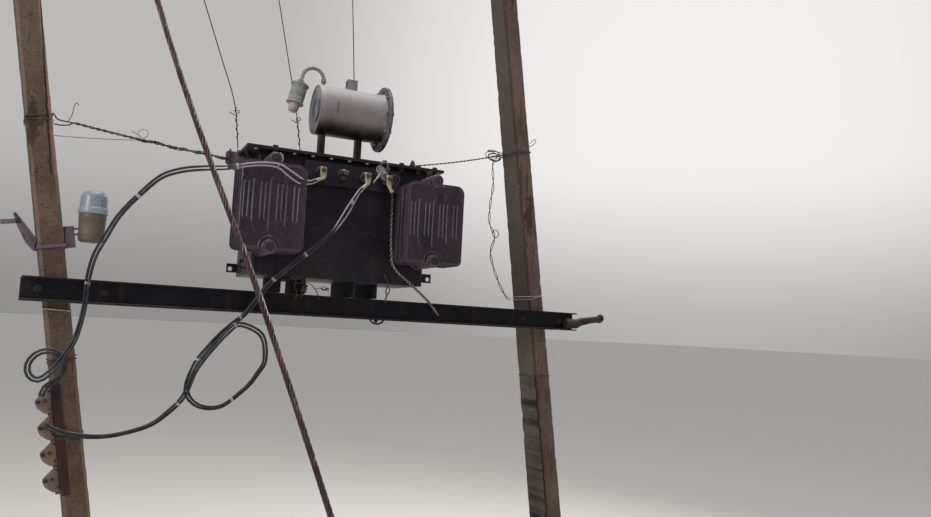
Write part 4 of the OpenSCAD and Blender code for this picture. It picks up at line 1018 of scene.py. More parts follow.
# %% The stay and its ends
STAY_PITCH = 0.135
STAY_GAP = STAY_DIAMETER * 1.06
BOW_RISE, BOW_FOOT = 0.006, 0.026
LOOP_WIDER = 0.012


def strand(path):
    """Six wires laid round a middle one."""
    wire = STAY_DIAMETER / 6
    laid = [rod(wound(path, 2 * wire, STAY_PITCH, k * math.pi / 3), wire * 1.03, 6) for k in range(6)]
    return [rod(path, wire * 0.98, 6)] + laid


def wire_clip(point, way):
    """A U-bolt clip over two ropes that lie side by side."""
    side = stay_side
    out = np.cross(way, side)
    legs = STAY_GAP / 2 + STAY_DIAMETER / 2 + 0.003
    bow = [point + side * legs - out * BOW_FOOT]
    bow += [point + side * legs * math.cos(a) + out * (0.012 * math.sin(a) + BOW_RISE)
            for a in np.linspace(0, math.pi, 11)]
    bow += [point - side * legs - out * BOW_FOOT]
    saddle = Matrix((side, way, out)).transposed().to_4x4()
    saddle.translation = Vector(point - out * 0.012)
    parts = [rod(bow, 0.0032, 8), block((2 * legs + 0.014, 0.022, 0.009), 0.002, saddle)]
    for s in (-1, 1):
        parts.append(moved(nut(0.011, 0.006), facing(point + side * legs * s - out * 0.0165, -out)))
    return parts


def stay_return(end, way, reach, tail):
    """The loop beyond an end of the stay and the tail that comes back beside it."""
    loop = []
    for a in np.linspace(0, math.pi, 15):
        width = STAY_GAP / 2 + LOOP_WIDER * math.sin(a)
        loop.append(end - way * reach * math.sin(a) + stay_side * (STAY_GAP / 2 - width * math.cos(a)))
    back = [end + stay_side * STAY_GAP + way * share * tail for share in np.linspace(0.08, 1, 14)]
    return strand(smooth(loop + back, 0.009))


clips = []
for end, way, places in ((stay_low, stay_way, (0.06, 0.14, 0.22)), (stay_top, -stay_way, (0.08, 0.17, 0.26))):
    for place in places:
        clips += wire_clip(end + way * place + stay_side * STAY_GAP / 2, way)
piece("stay_strand", strand(stay_line), STRAND, replaces=["stay_wire"])
tails = stay_return(stay_low, stay_way, 0.055, 0.3) + stay_return(stay_top, -stay_way, 0.02, 0.32)
piece("stay_tails", tails, STRAND)
piece("stay_clips", clips, GALVANISED)

# %% [markdown]
# The poles are precast, with bevelled edges that chip when they are handled. Each is a skin of rings from
# the ground to the top, close enough that a noise can bite small chips out of its edges and leave its faces
# slightly wavy. The rings are level, so that a leaning pole still ends flat on the ground.

# %% Poles with chipped edges
POLE_BEVEL = 0.012
RING_STEP = 0.016
EDGE_REACH = 0.02


def pole_ring(depth):
    """The eight corners of a pole's section, with more points along its faces."""
    w, d, b = POLE_WIDTH / 2, depth / 2, POLE_BEVEL
    corners = [(w, b - d), (w, d - b), (w - b, d), (b - w, d),
               (-w, d - b), (-w, b - d), (b - w, -d), (w - b, -d)]
    points = []
    for i, (x0, y0) in enumerate(corners):
        x1, y1 = corners[(i + 1) % 8]
        count = (7, 3, 5, 3)[i % 4]
        points += [(x0 + (x1 - x0) * k / count, y0 + (y1 - y0) * k / count) for k in range(count)]
    return points


def chipped(x, y, z, depth, seed):
    """How far a point of a pole's skin is bitten in."""
    spot = Vector((x * 30 + seed, y * 30, z * 22))
    wave = 0.0011 * noise.noise(Vector((x * 9 + seed, y * 9, z * 3)))
    from_x, from_y = POLE_WIDTH / 2 - abs(x), depth / 2 - abs(y)
    corner = max(0.0, 1 - (from_x + from_y) / 0.03)
    bite = max(0.0, noise.noise(spot) - 0.18) * 0.016 * corner
    rough = 0.0009 * abs(noise.noise(spot * 3)) * (1 + 2 * corner)
    return wave - bite - rough if min(from_x, from_y) < EDGE_REACH else wave


def pole_skin(side, seed):
    lean, foot = pole_stand(side)
    rings = []
    for z in np.linspace(0, POLE_HEIGHT, round(POLE_HEIGHT / RING_STEP)):
        depth = pole_depth(z)
        ring = []
        for x, y in pole_ring(depth):
            out = Vector((x, y * POLE_WIDTH / depth, 0)).normalized() * chipped(x, y, z, depth, seed)
            ring.append((foot - z * math.tan(lean) + (x + out.x) / math.cos(lean), y + out.y, z))
        rings.append(ring)
    return skin(rings)


piece("left_pole_skin", [pole_skin("left", 3.1)], LEFT_CONCRETE, replaces=["left_pole"],
      sharp=30)
piece("right_pole_skin", [pole_skin("right", 7.7)], RIGHT_CONCRETE, replaces=["right_pole"],
      sharp=30)

# %% [markdown]
# A radiator panel is two pressed sheets, welded along their rim, and the oil runs down inside the ribs. A
# height field is the natural way to make a pressing: a grid of points over the panel, each raised by a
# formula, and mirrored for the second sheet. A rib is a line on the sheet, and the height depends on how
# far a point lies from that line.

# %% Sizes of a radiator
RADIATOR_X = 0.386
HEADER_LOW = 0.111
HEADER_PITCH = 0.387
HEADER_RADIUS = 0.024
COLLAR_RADIUS = 0.031
PANEL_HALF = 0.147
PANEL_LOW, PANEL_HIGH = -0.016, 0.374
CORNER_LOW, CORNER_HIGH = 0.028, 0.04
PANELS = 4
PANEL_PITCH = 0.048
PANEL_FIRST = 0.062
PANEL_LAST = PANEL_FIRST + (PANELS - 1) * PANEL_PITCH
TANK_WALL = 0.197
SEAM = 0.0015
SEAM_WIDTH = 0.011
BODY = 0.0045
RIB_RISE = 0.0042
RIB_HALF = 0.0058
RIB_MIDDLE = -0.0095
GROUP_PITCH = 0.0725
RIB_PITCH = 0.0195
CORNER_RIBS = [[(0.094, 0.331), (0.11, 0.315)], [(-0.121, 0.055), (-0.108, 0.04)]]
BUMPS = [(-0.102, 0.327), (0.049, 0.064), (0.079, 0.034), (-0.128, 0.3)]
BUMP_RISE, BUMP_WIDTH = 0.003, 0.0052
DENTS = [(0.112, 0.333, 0.01), (-0.105, 0.056, 0.009), (0.093, 0.052, 0.011), (-0.004, 0.318, 0.007),
         (-0.05, 0.335, 0.01), (0.118, 0.09, 0.012)]
DENT_DEPTH = 0.0028
print("the last panel is", round(PANEL_LAST, 3), "m from the wall")


# %% The lines of the ribs
def rib_runs():
    """Each rib as the points it runs through: short ones in pairs, with a long one between two pairs."""
    left, right = RIB_MIDDLE - GROUP_PITCH, RIB_MIDDLE + GROUP_PITCH
    found = [[(left + 0.014, 0.06), (left, 0.107), (left, 0.284)],
             [(RIB_MIDDLE, 0.073), (RIB_MIDDLE, 0.282), (RIB_MIDDLE + 0.007, 0.3)],
             [(right, 0.098), (right, 0.275), (right - 0.013, 0.314)]]
    for group in range(-1, 3):
        for k in (1, 2):
            x = RIB_MIDDLE + group * GROUP_PITCH - k * RIB_PITCH
            found.append([(x, 0.122), (x, 0.271)])
    return found


def run_distance(x, z, points):
    """How far each point of the grid lies from a run of straight stretches."""
    nearest = np.ones_like(x)
    for (x0, z0), (x1, z1) in zip(points, points[1:]):
        dx, dz = x1 - x0, z1 - z0
        share = np.clip(((x - x0) * dx + (z - z0) * dz) / (dx * dx + dz * dz), 0, 1)
        nearest = np.minimum(nearest, np.hypot(x - x0 - share * dx, z - z0 - share * dz))
    return nearest


RIBS = rib_runs()
print("ribs on a panel:", len(RIBS))


# %% The height of a pressing
def soft_step(value, low, high):
    t = np.clip((value - low) / (high - low), 0, 1)
    return t * t * (3 - 2 * t)


def bell(value, middle, width):
    return np.exp(-((value - middle) / width) ** 2)


def rim_distance(x, z):
    """How far inside the panel's rounded outline a point lies."""
    upper = z > (PANEL_LOW + PANEL_HIGH) / 2
    radius = np.where(upper, CORNER_HIGH, CORNER_LOW)
    level = np.where(upper, PANEL_HIGH - z, z - PANEL_LOW)
    side = PANEL_HALF - np.abs(x)
    rounded = radius - np.hypot(np.maximum(radius - side, 0), np.maximum(radius - level, 0))
    return np.where((side < radius) & (level < radius), rounded, np.minimum(side, level))


def pressing(x, z):
    """How far one sheet stands out of the panel's middle plane, at x across and z above the lower header."""
    rim = rim_distance(x, z)
    height = SEAM + (BODY - SEAM) * soft_step(rim, 0.65 * SEAM_WIDTH, 1.2 * SEAM_WIDTH)
    height = height + 0.0012 * bell(rim, 1.35 * SEAM_WIDTH, 0.003)
    for run in RIBS + CORNER_RIBS:
        rise = RIB_RISE if run in RIBS else 0.7 * RIB_RISE
        height = height + rise * np.clip(1 - (run_distance(x, z, run) / RIB_HALF) ** 2, 0, 1) ** 0.55
    for hub in (0, HEADER_PITCH):
        radius = np.hypot(x, z - hub)
        height = height + 0.002 * soft_step(-radius, -0.052, -0.046) + 0.0016 * bell(radius, 0.0455, 0.0028)
        height = height - 0.0035 * bell(radius, 0.0365, 0.0042)
    for bx, bz in BUMPS:
        height = height + BUMP_RISE * bell(np.hypot(x - bx, z - bz), 0, BUMP_WIDTH)
    for dx, dz, wide in DENTS:
        height = height - DENT_DEPTH * bell(np.hypot(x - dx, z - dz), 0, wide)
    return SEAM + (np.maximum(height, 0.001) - SEAM) * soft_step(rim, 0.002, 0.004)


print("a rib stands out", round(pressing(np.array([RIB_MIDDLE]), np.array([0.2]))[0] / MM, 1), "mm")


# %% [markdown]
# A regular grid would need very many points to show ribs 11 mm wide. So the columns of the grid lie close
# together on the ribs and far apart between them, and the rows lie close where the ribs end. At the round
# corners the rows follow the angle of the arc, and each row is as wide as the panel is there.

# %% The grid of a panel
EDGE_COLUMNS = (0, 0.004, 0.0075, 0.0095, 0.012, 0.0148, 0.018)
LAST_CREST = 0.13
RIB_FEET, RIB_TOPS = (0.012, 0.14), (0.255, 0.334)


def thinned(marks, closest, widest):
    """Marks in order, none closer than one distance, with more put in where they lie wider than the other."""
    kept = []
    for mark in sorted(marks):
        if not kept or mark - kept[-1] >= closest:
            kept.append(mark)
    filled = [kept[0]]
    for mark in kept[1:]:
        start = filled[-1]
        count = math.ceil((mark - start) / widest - 1e-6)
        filled += [start + (mark - start) * (k + 1) / count for k in range(count)]
    return np.array(filled)


def panel_columns(steps, widest):
    marks = [side * (PANEL_HALF - edge) for edge in EDGE_COLUMNS for side in (-1, 1)]
    for group in range(-1, 3):
        for k in (0, 1, 2):
            crest = RIB_MIDDLE + group * GROUP_PITCH - k * RIB_PITCH
            if crest < LAST_CREST:
                marks += [crest + side * step for step in steps for side in (-1, 1)]
    return thinned(marks, 0.0011, widest)


def panel_rows(fine):
    arc = np.radians(np.linspace(0, 90, 11))
    low = PANEL_LOW + CORNER_LOW * (1 - np.cos(arc))
    high = PANEL_HIGH - CORNER_HIGH * (1 - np.cos(arc))
    return thinned([*low, *high, *np.arange(*RIB_FEET, fine), *np.arange(*RIB_TOPS, fine)], 0.0004, 0.03)


def half_width(z):
    """Half the panel's width at a height, which is less where its corners are round."""
    radius = CORNER_HIGH if z > (PANEL_LOW + PANEL_HIGH) / 2 else CORNER_LOW
    into = max(0.0, radius - min(z - PANEL_LOW, PANEL_HIGH - z))
    return PANEL_HALF - radius + math.sqrt(max(radius ** 2 - into ** 2, 0))


def pressed_panel(columns, rows, seed):
    """Both sheets of a panel, as rings round it from its lower edge to its upper edge."""
    rings = []
    for z in rows:
        x = columns * half_width(z) / PANEL_HALF
        level = np.full_like(x, z)
        rise = pressing(x, level)
        buckled = 0.001 * np.sin(27 * x + seed) * math.sin(14 * z + 2 * seed)
        front = np.stack([x, buckled - rise, level], axis=1)
        back = np.stack([x, buckled + rise, level], axis=1)[::-1]
        rings.append(np.concatenate([front, back]))
    points, faces = skin(rings, ends=False)
    count, size = len(columns), 2 * len(columns)
    for base in (0, (len(rows) - 1) * size):
        for j in range(count - 1):
            faces.append((base + j, base + j + 1, base + size - 2 - j, base + size - 1 - j))
    return points, faces


FINE_GRID = (panel_columns((0, 0.0017, 0.0032, 0.0045, 0.0056, 0.0068), 0.003), panel_rows(0.0026))
PLAIN_GRID = (panel_columns((0, 0.003, 0.0056), 0.008), panel_rows(0.006))
print("a front panel has", len(FINE_GRID[0]), "columns and", len(FINE_GRID[1]), "rows")

# %% [markdown]
# The panels hang on two header pipes, with a collar at each panel and a cap on each pipe's end. These are
# turned, and their profiles are lists of millimetres: how far out from the part's radius, and how high.

# %% A radiator on its two headers
HUB_CAP = [(None, -14), (4.5, -14), (4.5, -8.5), (3, -6), (1, -4.5), (0, -3), (0, 17), (-1.2, 19),
           (-3.5, 19.5), (-6, 18.5), (-12, 18.2), (-14.5, 19.5), (None, 20)]
HEADER = [(None, 0), (6, 0), (3, 5), (0, 8), (0, PANEL_LAST / MM), (None, PANEL_LAST / MM)]
COLLAR = [(None, -8.5), (-3, -8.5), (-0.5, -6.5), (0, -4), (0, 4), (-0.5, 6.5), (-3, 8.5), (None, 8.5)]
CAP_OUT = 0.005


def radiator(side, name, node):
    parts = []
    for i in range(PANELS):
        panel = pressed_panel(*(FINE_GRID if i == PANELS - 1 else PLAIN_GRID), seed=i + 2.3 * side)
        out = TANK_WALL + PANEL_FIRST + i * PANEL_PITCH
        parts.append(moved(panel, on_tank(side * RADIATOR_X, -out, HEADER_LOW)))
    for z in (0, HEADER_PITCH):
        place = on_tank(side * RADIATOR_X, -TANK_WALL, HEADER_LOW + z) @ spin(QUARTER, "X")
        parts.append(moved(lathe(HEADER, 44, HEADER_RADIUS), place))
        parts.append(moved(lathe(HUB_CAP, 44, HEADER_RADIUS), place @ shift(0, 0, PANEL_LAST + CAP_OUT)))
        for i in range(PANELS):
            at_panel = place @ shift(0, 0, PANEL_FIRST + i * PANEL_PITCH)
            parts.append(moved(lathe(COLLAR, 40, COLLAR_RADIUS), at_panel))
    piece(name, parts, RADIATOR_PAINT, replaces=[node], sharp=50)


radiator(-1, "radiator_left_pressed", "radiator_left")
radiator(1, "radiator_right_pressed", "radiator_right")

# %% [markdown]
# The conservator is a drum on two angle legs. Its right end is closed by a bolted flange, and its left end
# is set back behind a narrow rim. Turned profiles make both, with a small radius wherever two surfaces
# meet, and the bolts are placed in a ring.

# %% Conservator drum and flange
DRUM_RADIUS = DRUM_DIAMETER / 2
DRUM = [(None, 9), (-16, 8.5), (-8, 6.5), (-6.2, 3), (-5, 0.6), (-1.5, 0), (0, 1.5), (0, 20), (1.2, 24),
        (0, 28), (0, 322), (1, 332), (6, 341), (None, 341.5)]
FLANGE_RADIUS = 0.1675
FLANGE_THICK = 0.008
FLANGE = [(-52.5, -8), (-1, -8), (0, -7), (0, -1.5), (-4, -1.2), (-4, 0.8), (0, 1.2), (0, 7), (-1, 8),
          (None, 8), (None, -8)]
FLANGE_BOLTS = 10
FLANGE_BOLT_ACROSS = 0.019
ALONG_DRUM = on_tank(DRUM_LEFT, 0, DRUM_AXIS) @ spin(QUARTER, "Y")
FLANGE_JOINT = ALONG_DRUM @ shift(0, 0, DRUM_LENGTH)
piece("conservator_drum", [moved(lathe(DRUM, 96, DRUM_RADIUS), ALONG_DRUM)], DRUM_PAINT,
      replaces=["conservator"])

flange_parts = [moved(lathe(FLANGE, 96, FLANGE_RADIUS), FLANGE_JOINT)]
for k in range(FLANGE_BOLTS):
    spot = FLANGE_JOINT @ spin(2 * math.pi * (k + 0.5) / FLANGE_BOLTS) @ shift(FLANGE_RADIUS - 0.021, 0, 0)
    inner = spot @ shift(0, 0, -FLANGE_THICK) @ spin(math.pi, "X") @ spin(0.7 * k)
    flange_parts += bolt(inner, FLANGE_BOLT_ACROSS, 0.008, 0.004)
    outer = spot @ shift(0, 0, FLANGE_THICK) @ spin(1.3 * k)
    flange_parts.append(moved(nut(FLANGE_BOLT_ACROSS, 0.0075), outer))
piece("conservator_flange_bolted", flange_parts, FLANGE_PAINT, replaces=["conservator_flange"])

# %% [markdown]
# The breather lets the drum take in dry air. A bent pipe carries a canister of crystals with a small oil
# cup below. Its parts are turned, and its frame is tilted the way the pipe hangs.

# %% Breather
PIPE_X = DRUM_LEFT + 0.035
PIPE_BOW = 0.054
PIPE_RADIUS = 0.0095
BOW_Z = DRUM_AXIS + DRUM_RADIUS + 0.028
BREATHER_TILT = math.radians(12)
DROP = 0.045
BODY_RADIUS = 0.039
BODY_LENGTH = 0.112
CUP_LENGTH = 0.042
PIPE_COLLAR = [(0, -11), (13.5, -10), (14, -8), (14, 6), (12.5, 9), (0, 9)]
BREATHER_BODY = [(None, 0), (3, 0), (4, 1), (4, 6), (2, 8), (0, 10), (0, 35), (-1, 37), (0, 39), (0, 82),
                 (-1, 84), (0, 86), (0, 93), (6, 96), (7, 98), (7, 102), (5, 104), (-17, 107), (-23, 109),
                 (-24, 112), (None, 112)]
STAIN = [(0, 107.2), (22.5, 107.2), (43.5, 104.5), (45.5, 103), (46.2, 100), (45, 99.5), (20, 99.5),
         (0, 99.5)]
CUP = [(0, 0), (16, 0), (19, 1.5), (23.5, 8), (25.5, 16), (26, 22), (26, 36), (27.5, 37), (27.5, 41),
       (26, 42), (0, 42)]


def on_bow(angle):
    """Where the pipe's bow is at an angle, across and up."""
    return PIPE_X - PIPE_BOW + PIPE_BOW * math.cos(angle), 0, BOW_Z + PIPE_BOW * math.sin(angle)


turn_end = math.pi - BREATHER_TILT
PIPE_END = on_tank(*on_bow(turn_end)) @ spin(BREATHER_TILT, "Y")
pipe_path = [(PIPE_X, 0, DRUM_AXIS + DRUM_RADIUS - 0.012), (PIPE_X, 0, BOW_Z - 0.012)]
pipe_path += [on_bow(angle) for angle in np.linspace(0, turn_end, 22)]
pipe_points = [tank_point(*p) for p in pipe_path] + [np.array(PIPE_END @ Vector((0, 0, -DROP)))]
pipe_parts = [rod(pipe_points, PIPE_RADIUS, 20), moved(lathe(PIPE_COLLAR, 24), on_tank(PIPE_X, 0, BOW_Z)),
              moved(nut(0.032, 0.014), PIPE_END @ shift(0, 0, MM - DROP))]
piece("breather_pipe_bent", pipe_parts, PIPE_PAINT, replaces=["breather_pipe"])

BODY_FOOT = PIPE_END @ shift(0, 0, -DROP - BODY_LENGTH)
body_parts = [moved(lathe(BREATHER_BODY, 60, BODY_RADIUS), BODY_FOOT)]
for k in range(4):
    stud = BODY_FOOT @ spin(QUARTER * (k + 1 / 3)) @ shift(BODY_RADIUS + MM, 0, 0.099)
    body_parts.append(moved(nut(0.008, 0.008), stud))
piece("breather_body", body_parts, BREATHER_PAINT, replaces=["breather"])
piece("breather_collar_stain", [moved(lathe(STAIN, 40), BODY_FOOT)], BREATHER_STAIN)
cup = moved(lathe(CUP, 48), BODY_FOOT @ shift(0, 0, -CUP_LENGTH))
piece("breather_oil_cup", [cup], CUP_PLASTIC, replaces=["breather_cup"])

# %% [markdown]
# The cover is held by hexagon bolts, but some of its holes are empty. In six of the front holes a short pale
# stub sits under the rim, painted near white as painted light for the sky seen through those holes.

# %% Cover bolts and stubs
COVER_LENGTH = 0.97
COVER_DEPTH = 0.5
COVER_TOP = 0.586
RIM_UNDER = 0.572
HOLES_LONG = 11
HOLE_IN = 0.022
HOLE_X = COVER_LENGTH / 2 - 0.042
HOLE_Y = COVER_DEPTH / 2 - HOLE_IN
SIDE_HOLE_Y = 1.5 * 0.091
COVER_BOLT = 0.022
BOLTED_FRONT = [1, 7, 8, 9, 10]
PALE_STUB_FRONT = [0, 2, 3, 4, 5, 6]
MISSING_REAR = [2, 6, 7]
STUB = [(0, -10), (7.4, -10), (7.4, 0), (8.8, 0), (8.8, 2), (7, 4.2), (0, 5)]


def hole_x(k):
    return HOLE_X * (2 * k / (HOLES_LONG - 1) - 1)


def through_bolt(x, y, angle=0.0):
    """A bolt through cover and rim, with its head on top and its nut below."""
    below = on_tank(x, y, RIM_UNDER) @ spin(math.pi, "X")
    return (bolt(on_tank(x, y, COVER_TOP) @ spin(angle), COVER_BOLT, 0.009)
            + bolt(below, COVER_BOLT, 0.01, 0.008))


cover_bolts = []
for row, keep in ((-1, BOLTED_FRONT), (1, [k for k in range(HOLES_LONG) if k not in MISSING_REAR])):
    for k in keep:
        cover_bolts += through_bolt(hole_x(k), row * HOLE_Y, 0.9 * k + row)
for side in (-1, 1):
    for end in (-1, 1):
        cover_bolts += through_bolt(side * (COVER_LENGTH / 2 - HOLE_IN), end * SIDE_HOLE_Y)
piece("cover_bolts", cover_bolts, BOLT_STEEL)
# The stubs are near white, as painted light for the sky seen through the holes.
bolt_stubs = [moved(lathe(STUB, 16), on_tank(hole_x(k), -HOLE_Y, RIM_UNDER) @ spin(math.pi, "X"))
              for k in PALE_STUB_FRONT]
piece("bolt_stubs", bolt_stubs, PAINTED_SKY_STEEL)

# %% [markdown]
# The earth stud stands on the cover. It has a nut on each side of the wire that is hooked round it.

# %% Earth stud
STUD_X, STUD_Y = 0.333, 0.2
STUD_NUT = nut(0.022, 0.01)
SHAFT = [(0, 0), (7.5, 0), (7.5, 36), (6, 38), (0, 38)]
earth_stud = on_tank(STUD_X, -STUD_Y, COVER_TOP)
stud_parts = [moved(lathe(SHAFT, 20), earth_stud), moved(STUD_NUT, earth_stud),
              moved(STUD_NUT, earth_stud @ shift(0, 0, 0.0186) @ spin(0.4))]
piece("earth_stud_nuts", stud_parts, BOLT_STEEL, replaces=["earth_stud"])

# %% [markdown]
# The low voltage bushings are squat porcelains with a threaded stud and two nuts.

# %% Low voltage bushings and studs
LV_FIRST = -0.14
LV_PITCH = 0.108
LV_FRONT = TANK_WALL + 0.045
LV_AXIS = 0.499
LV_LENGTH = 0.046
PORCELAIN = [(0, 0), (28, 0), (29, 2), (28, 5), (24, 6), (24, 9), (19, 13.5), (17.5, 17), (17.5, 21),
             (21.5, 24.5), (22.8, 27), (21.5, 29.5), (16.5, 34), (14.5, 37), (14.5, 44.5), (13.5, 46),
             (0, 46)]
LV_STUD = [(0, 0), (6, 0), (6, 78.5), (4.5, 80), (0, 80)]
LV_NUTS = ((LV_LENGTH, 0.0058, 0.2), (LV_LENGTH + 0.01, 0.009, 0.9))
porcelains = []
studs = []
for i in range(4):
    bushing = on_tank(LV_FIRST + i * LV_PITCH, -LV_FRONT, LV_AXIS) @ spin(QUARTER, "X")
    porcelains.append(moved(lathe(PORCELAIN, 40), bushing))
    studs.append(moved(lathe(LV_STUD, 20), bushing))
    for level, tall, angle in LV_NUTS:
        studs.append(moved(nut(0.0205, tall), bushing @ shift(0, 0, level) @ spin(angle + 1.7 * i)))
piece("lv_porcelains", porcelains, BUSHING_DARK, replaces=["lv_bushings"])
piece("lv_stud_nuts", studs, BRASS, replaces=["lv_studs"])

# %% [markdown]
# A cable lug is a piece of tube that is beaten flat at one end: a skin whose rings change from a thin
# rectangle to a circle shows exactly that. Two stretches of the barrel that are drawn in stand for the
# crimps.

# %% Cable lugs
LUG_Y = LV_FRONT + LV_LENGTH + 0.006
LUG_PALM = 0.03
LUG_BEND = 0.036
PALM_RINGS = ((0.0155, 0.6, 0.0035, 0), (0.0145, 0.85, 0.004, 0), (0.011, 1, 0.004, 0), (-0.02, 1, 0.004, 0),
              (-0.026, 0.95, 0.0045, 0.1))
BARREL, CRIMPED = 0.018, 0.0155
BARREL_RINGS = ((0.12, BARREL), (0.3, BARREL), (0.36, CRIMPED), (0.44, CRIMPED), (0.5, BARREL),
                (0.62, BARREL), (0.68, CRIMPED), (0.76, CRIMPED), (0.82, BARREL), (1.0, BARREL))
LUG_TURNS = {0: math.radians(62), 2: math.radians(42), 3: math.radians(-30)}


def lug_ring(point, across, through, wide, thick, roundness):
    """A ring between a rounded rectangle and a circle."""
    turn = full_turn(24)
    power = 0.35 + 0.65 * roundness
    x, y = [np.sign(wave) * np.abs(wave) ** power for wave in (np.cos(turn), np.sin(turn))]
    return point + np.outer(x * wide / 2, across) + np.outer(y * thick / 2, through)


def cable_lug(i, turn):
    """A lug on a stud, whose barrel is bent sideways by an angle from its palm."""
    start = np.array((LV_FIRST + i * LV_PITCH, -LUG_Y - 0.002, LV_AXIS))
    bend = start - (0, 0, LUG_BEND)
    away = np.array((-math.sin(turn), 0, -math.cos(turn)))
    through = np.array((0, 1.0, 0))
    stations = [(start + (0, 0, rise), share * LUG_PALM, thick, roundness)
                for rise, share, thick, roundness in PALM_RINGS]
    stations.append((bend, 0.0215, 0.012, 0.6))
    for share, width in BARREL_RINGS:
        thick = width * (0.9 if width == CRIMPED else 1)
        stations.append((bend + away * LUG_BARREL * share, width, thick, 1))
    rings = []
    for k, (point, *shape) in enumerate(stations):
        near = stations[min(k + 1, len(stations) - 1)][0] - stations[max(k - 1, 0)][0]
        across = np.cross(through, near)
        rings.append(lug_ring(point, across / np.linalg.norm(across), through, *shape))
    return moved(skin(rings), TANK)


piece("lv_crimped_lugs", [cable_lug(i, turn) for i, turn in LUG_TURNS.items()], TINNED,
      replaces=["lv_lugs"], sharp=50)

# %% [markdown]
# The canister on the left pole has a pressed steel body that narrows to its foot and a pale domed cap with
# a small square plate on it. The plate is a patch of a cylinder, a little larger than the cap.

# %% Canister and cap
LEFT_AT_BEAM = -BEAM_LOW * math.tan(LEFT_LEAN)
CANISTER = shift(LEFT_AT_BEAM + 0.108, -0.052, BEAM_LOW + 0.262)
CANISTER_RADIUS = 0.056
CAN = [(None, 0), (-14, 0), (-12.5, 0.8), (-11.5, 3), (-6.5, 7.5), (-5.5, 10), (-4.5, 30), (-3.5, 34),
       (-4.5, 38), (-1.5, 100), (0, 104), (-1, 108), (-1, 122), (None, 122)]
CAP = [(None, 122), (1.5, 122), (2.8, 123.5), (3, 126), (3, 144), (2, 146.5), (-0.5, 149), (-1, 154),
       (-2, 192), (-4, 202), (-9, 212), (-18, 219.5), (-30, 223), (None, 224)]
PATCH_RINGS = ((0.159, -0.0022), (0.1595, 0), (0.183, 0), (0.1835, -0.0022))
patch_turn = np.radians(np.linspace(-62, -24, 13))
patch = [np.stack([(CANISTER_RADIUS + out) * np.cos(patch_turn), (CANISTER_RADIUS + out) * np.sin(patch_turn),
                   np.full(13, z)], axis=1) for z, out in PATCH_RINGS]
piece("canister_body", [moved(lathe(CAN, 64, CANISTER_RADIUS), CANISTER)], CAN_PAINT,
      replaces=["canister"])
piece("canister_cap_domed", [moved(lathe(CAP, 64, CANISTER_RADIUS), CANISTER),
                             moved(skin(patch, around=False, ends=False), CANISTER)],
      CAP_PAINT, replaces=["canister_cap"])

# %% [markdown]
# The fuse board hangs on the pole's left edge: four plates, one below the other, each with a slanting outer
# edge, a porcelain knob and bolts. The angle that they are bolted to has a flange on the pole's front.

# %% Fuse board
BOARD_TOP = 2.056
UNITS = 4
UNIT_HEIGHT = 0.108
UNIT_THICK = 0.008
UNIT_OUTLINE = [(0, 0), (0, 102), (-10, 104), (-60, 62), (-62, 50), (-54, 26), (-36, 8), (-26, 0)]
BOARD_LENGTH = UNITS * UNIT_HEIGHT
BOARD = on_pole("left", BOARD_TOP) @ shift(-POLE_WIDTH / 2, 0.024 - pole_depth(BOARD_TOP) / 2, -BOARD_LENGTH)
BACK_BAR = 0.03
KNOB = [(0, 0), (6.8, 0), (8, 1.92), (8, 4.8), (5.76, 6.72), (5.76, 8.32), (8, 10.24), (8, 13.6), (6, 16),
        (0, 16)]
SCREWS = ((-0.026, 0.5, 0.012), (-0.008, 0.16, 0.007), (-0.008, 0.84, 0.007))
unit_plates = []
knobs = []
screws = []
for i in range(UNITS):
    here = BOARD @ shift(-0.004, 0, i * UNIT_HEIGHT + 0.002) @ spin(QUARTER, "X")
    unit_plates.append(plate(UNIT_OUTLINE, UNIT_THICK, here, 0.0015))
    knobs.append(moved(lathe(KNOB, 24), here @ shift(-0.05, UNIT_HEIGHT / 2, UNIT_THICK)))
    for x, share, across in SCREWS:
        screws += bolt(here @ shift(x, share * UNIT_HEIGHT, UNIT_THICK), across, 0.005)
piece("fuse_unit_plates", unit_plates, BOARD_PAINT, replaces=["fuse_units"])
piece("fuse_unit_knobs", knobs, BUSHING_DARK)
piece("fuse_unit_screws", screws, RUSTY_STEEL)
back_bar = block((BACK_BAR, 0.005, BOARD_LENGTH + 0.03), 0.001,
                 BOARD @ shift(BACK_BAR / 2, -0.0275, BOARD_LENGTH / 2))
piece("fuse_back_bar", [back_bar], RUST_DARK)

# %% [markdown]
# A rough billet of timber is jammed into the beam's end beside the right pole. A rod with a radius and a
# line that both wander, and noise that furrows it lengthways, makes an old branch rather than a dowel.

# %% Timber
LOG_START = np.array((2.1764, -0.1314, 2.4402))
LOG_LENGTH = 0.261
LOG_RADIUS = 0.029
LOG_SHAPE = [(0, 0, 1), (0.15, 0, 0.97), (0.29, 0, 1), (0.41, 12, 0.85), (0.57, 20, 0.73), (0.72, 27, 0.71),
             (0.88, 33, 0.73), (0.93, 37, 0.92), (0.975, 39, 0.94), (1, 40, 0.78)]
log_line = smooth([LOG_START + (share * LOG_LENGTH, 0, rise * MM) for share, rise, _ in LOG_SHAPE], 0.006)
log_share = (log_line[:, 0] - LOG_START[0]) / LOG_LENGTH
shares, _, grown = zip(*LOG_SHAPE)
log_radius = LOG_RADIUS * np.interp(log_share, shares, grown) - 0.0012
log_rings = []
for middle, radius in zip(log_line, log_radius):
    ring = []
    for turn in full_turn(44):
        across = np.array((0, math.cos(turn), math.sin(turn)))
        furrow = noise.noise(Vector((middle[0] * 5, 3.2 * across[1], 3.2 * across[2])) * 2.2)
        knot = noise.noise(Vector((middle[0] * 40, across[1] * 1.6, across[2] * 1.6)))
        ring.append(middle + across * (radius + 0.0022 * furrow - 0.0014 * abs(knot)))
    log_rings.append(ring)
piece("timber_log", [skin(log_rings)], TIMBER, replaces=["timber_stub"], sharp=60)

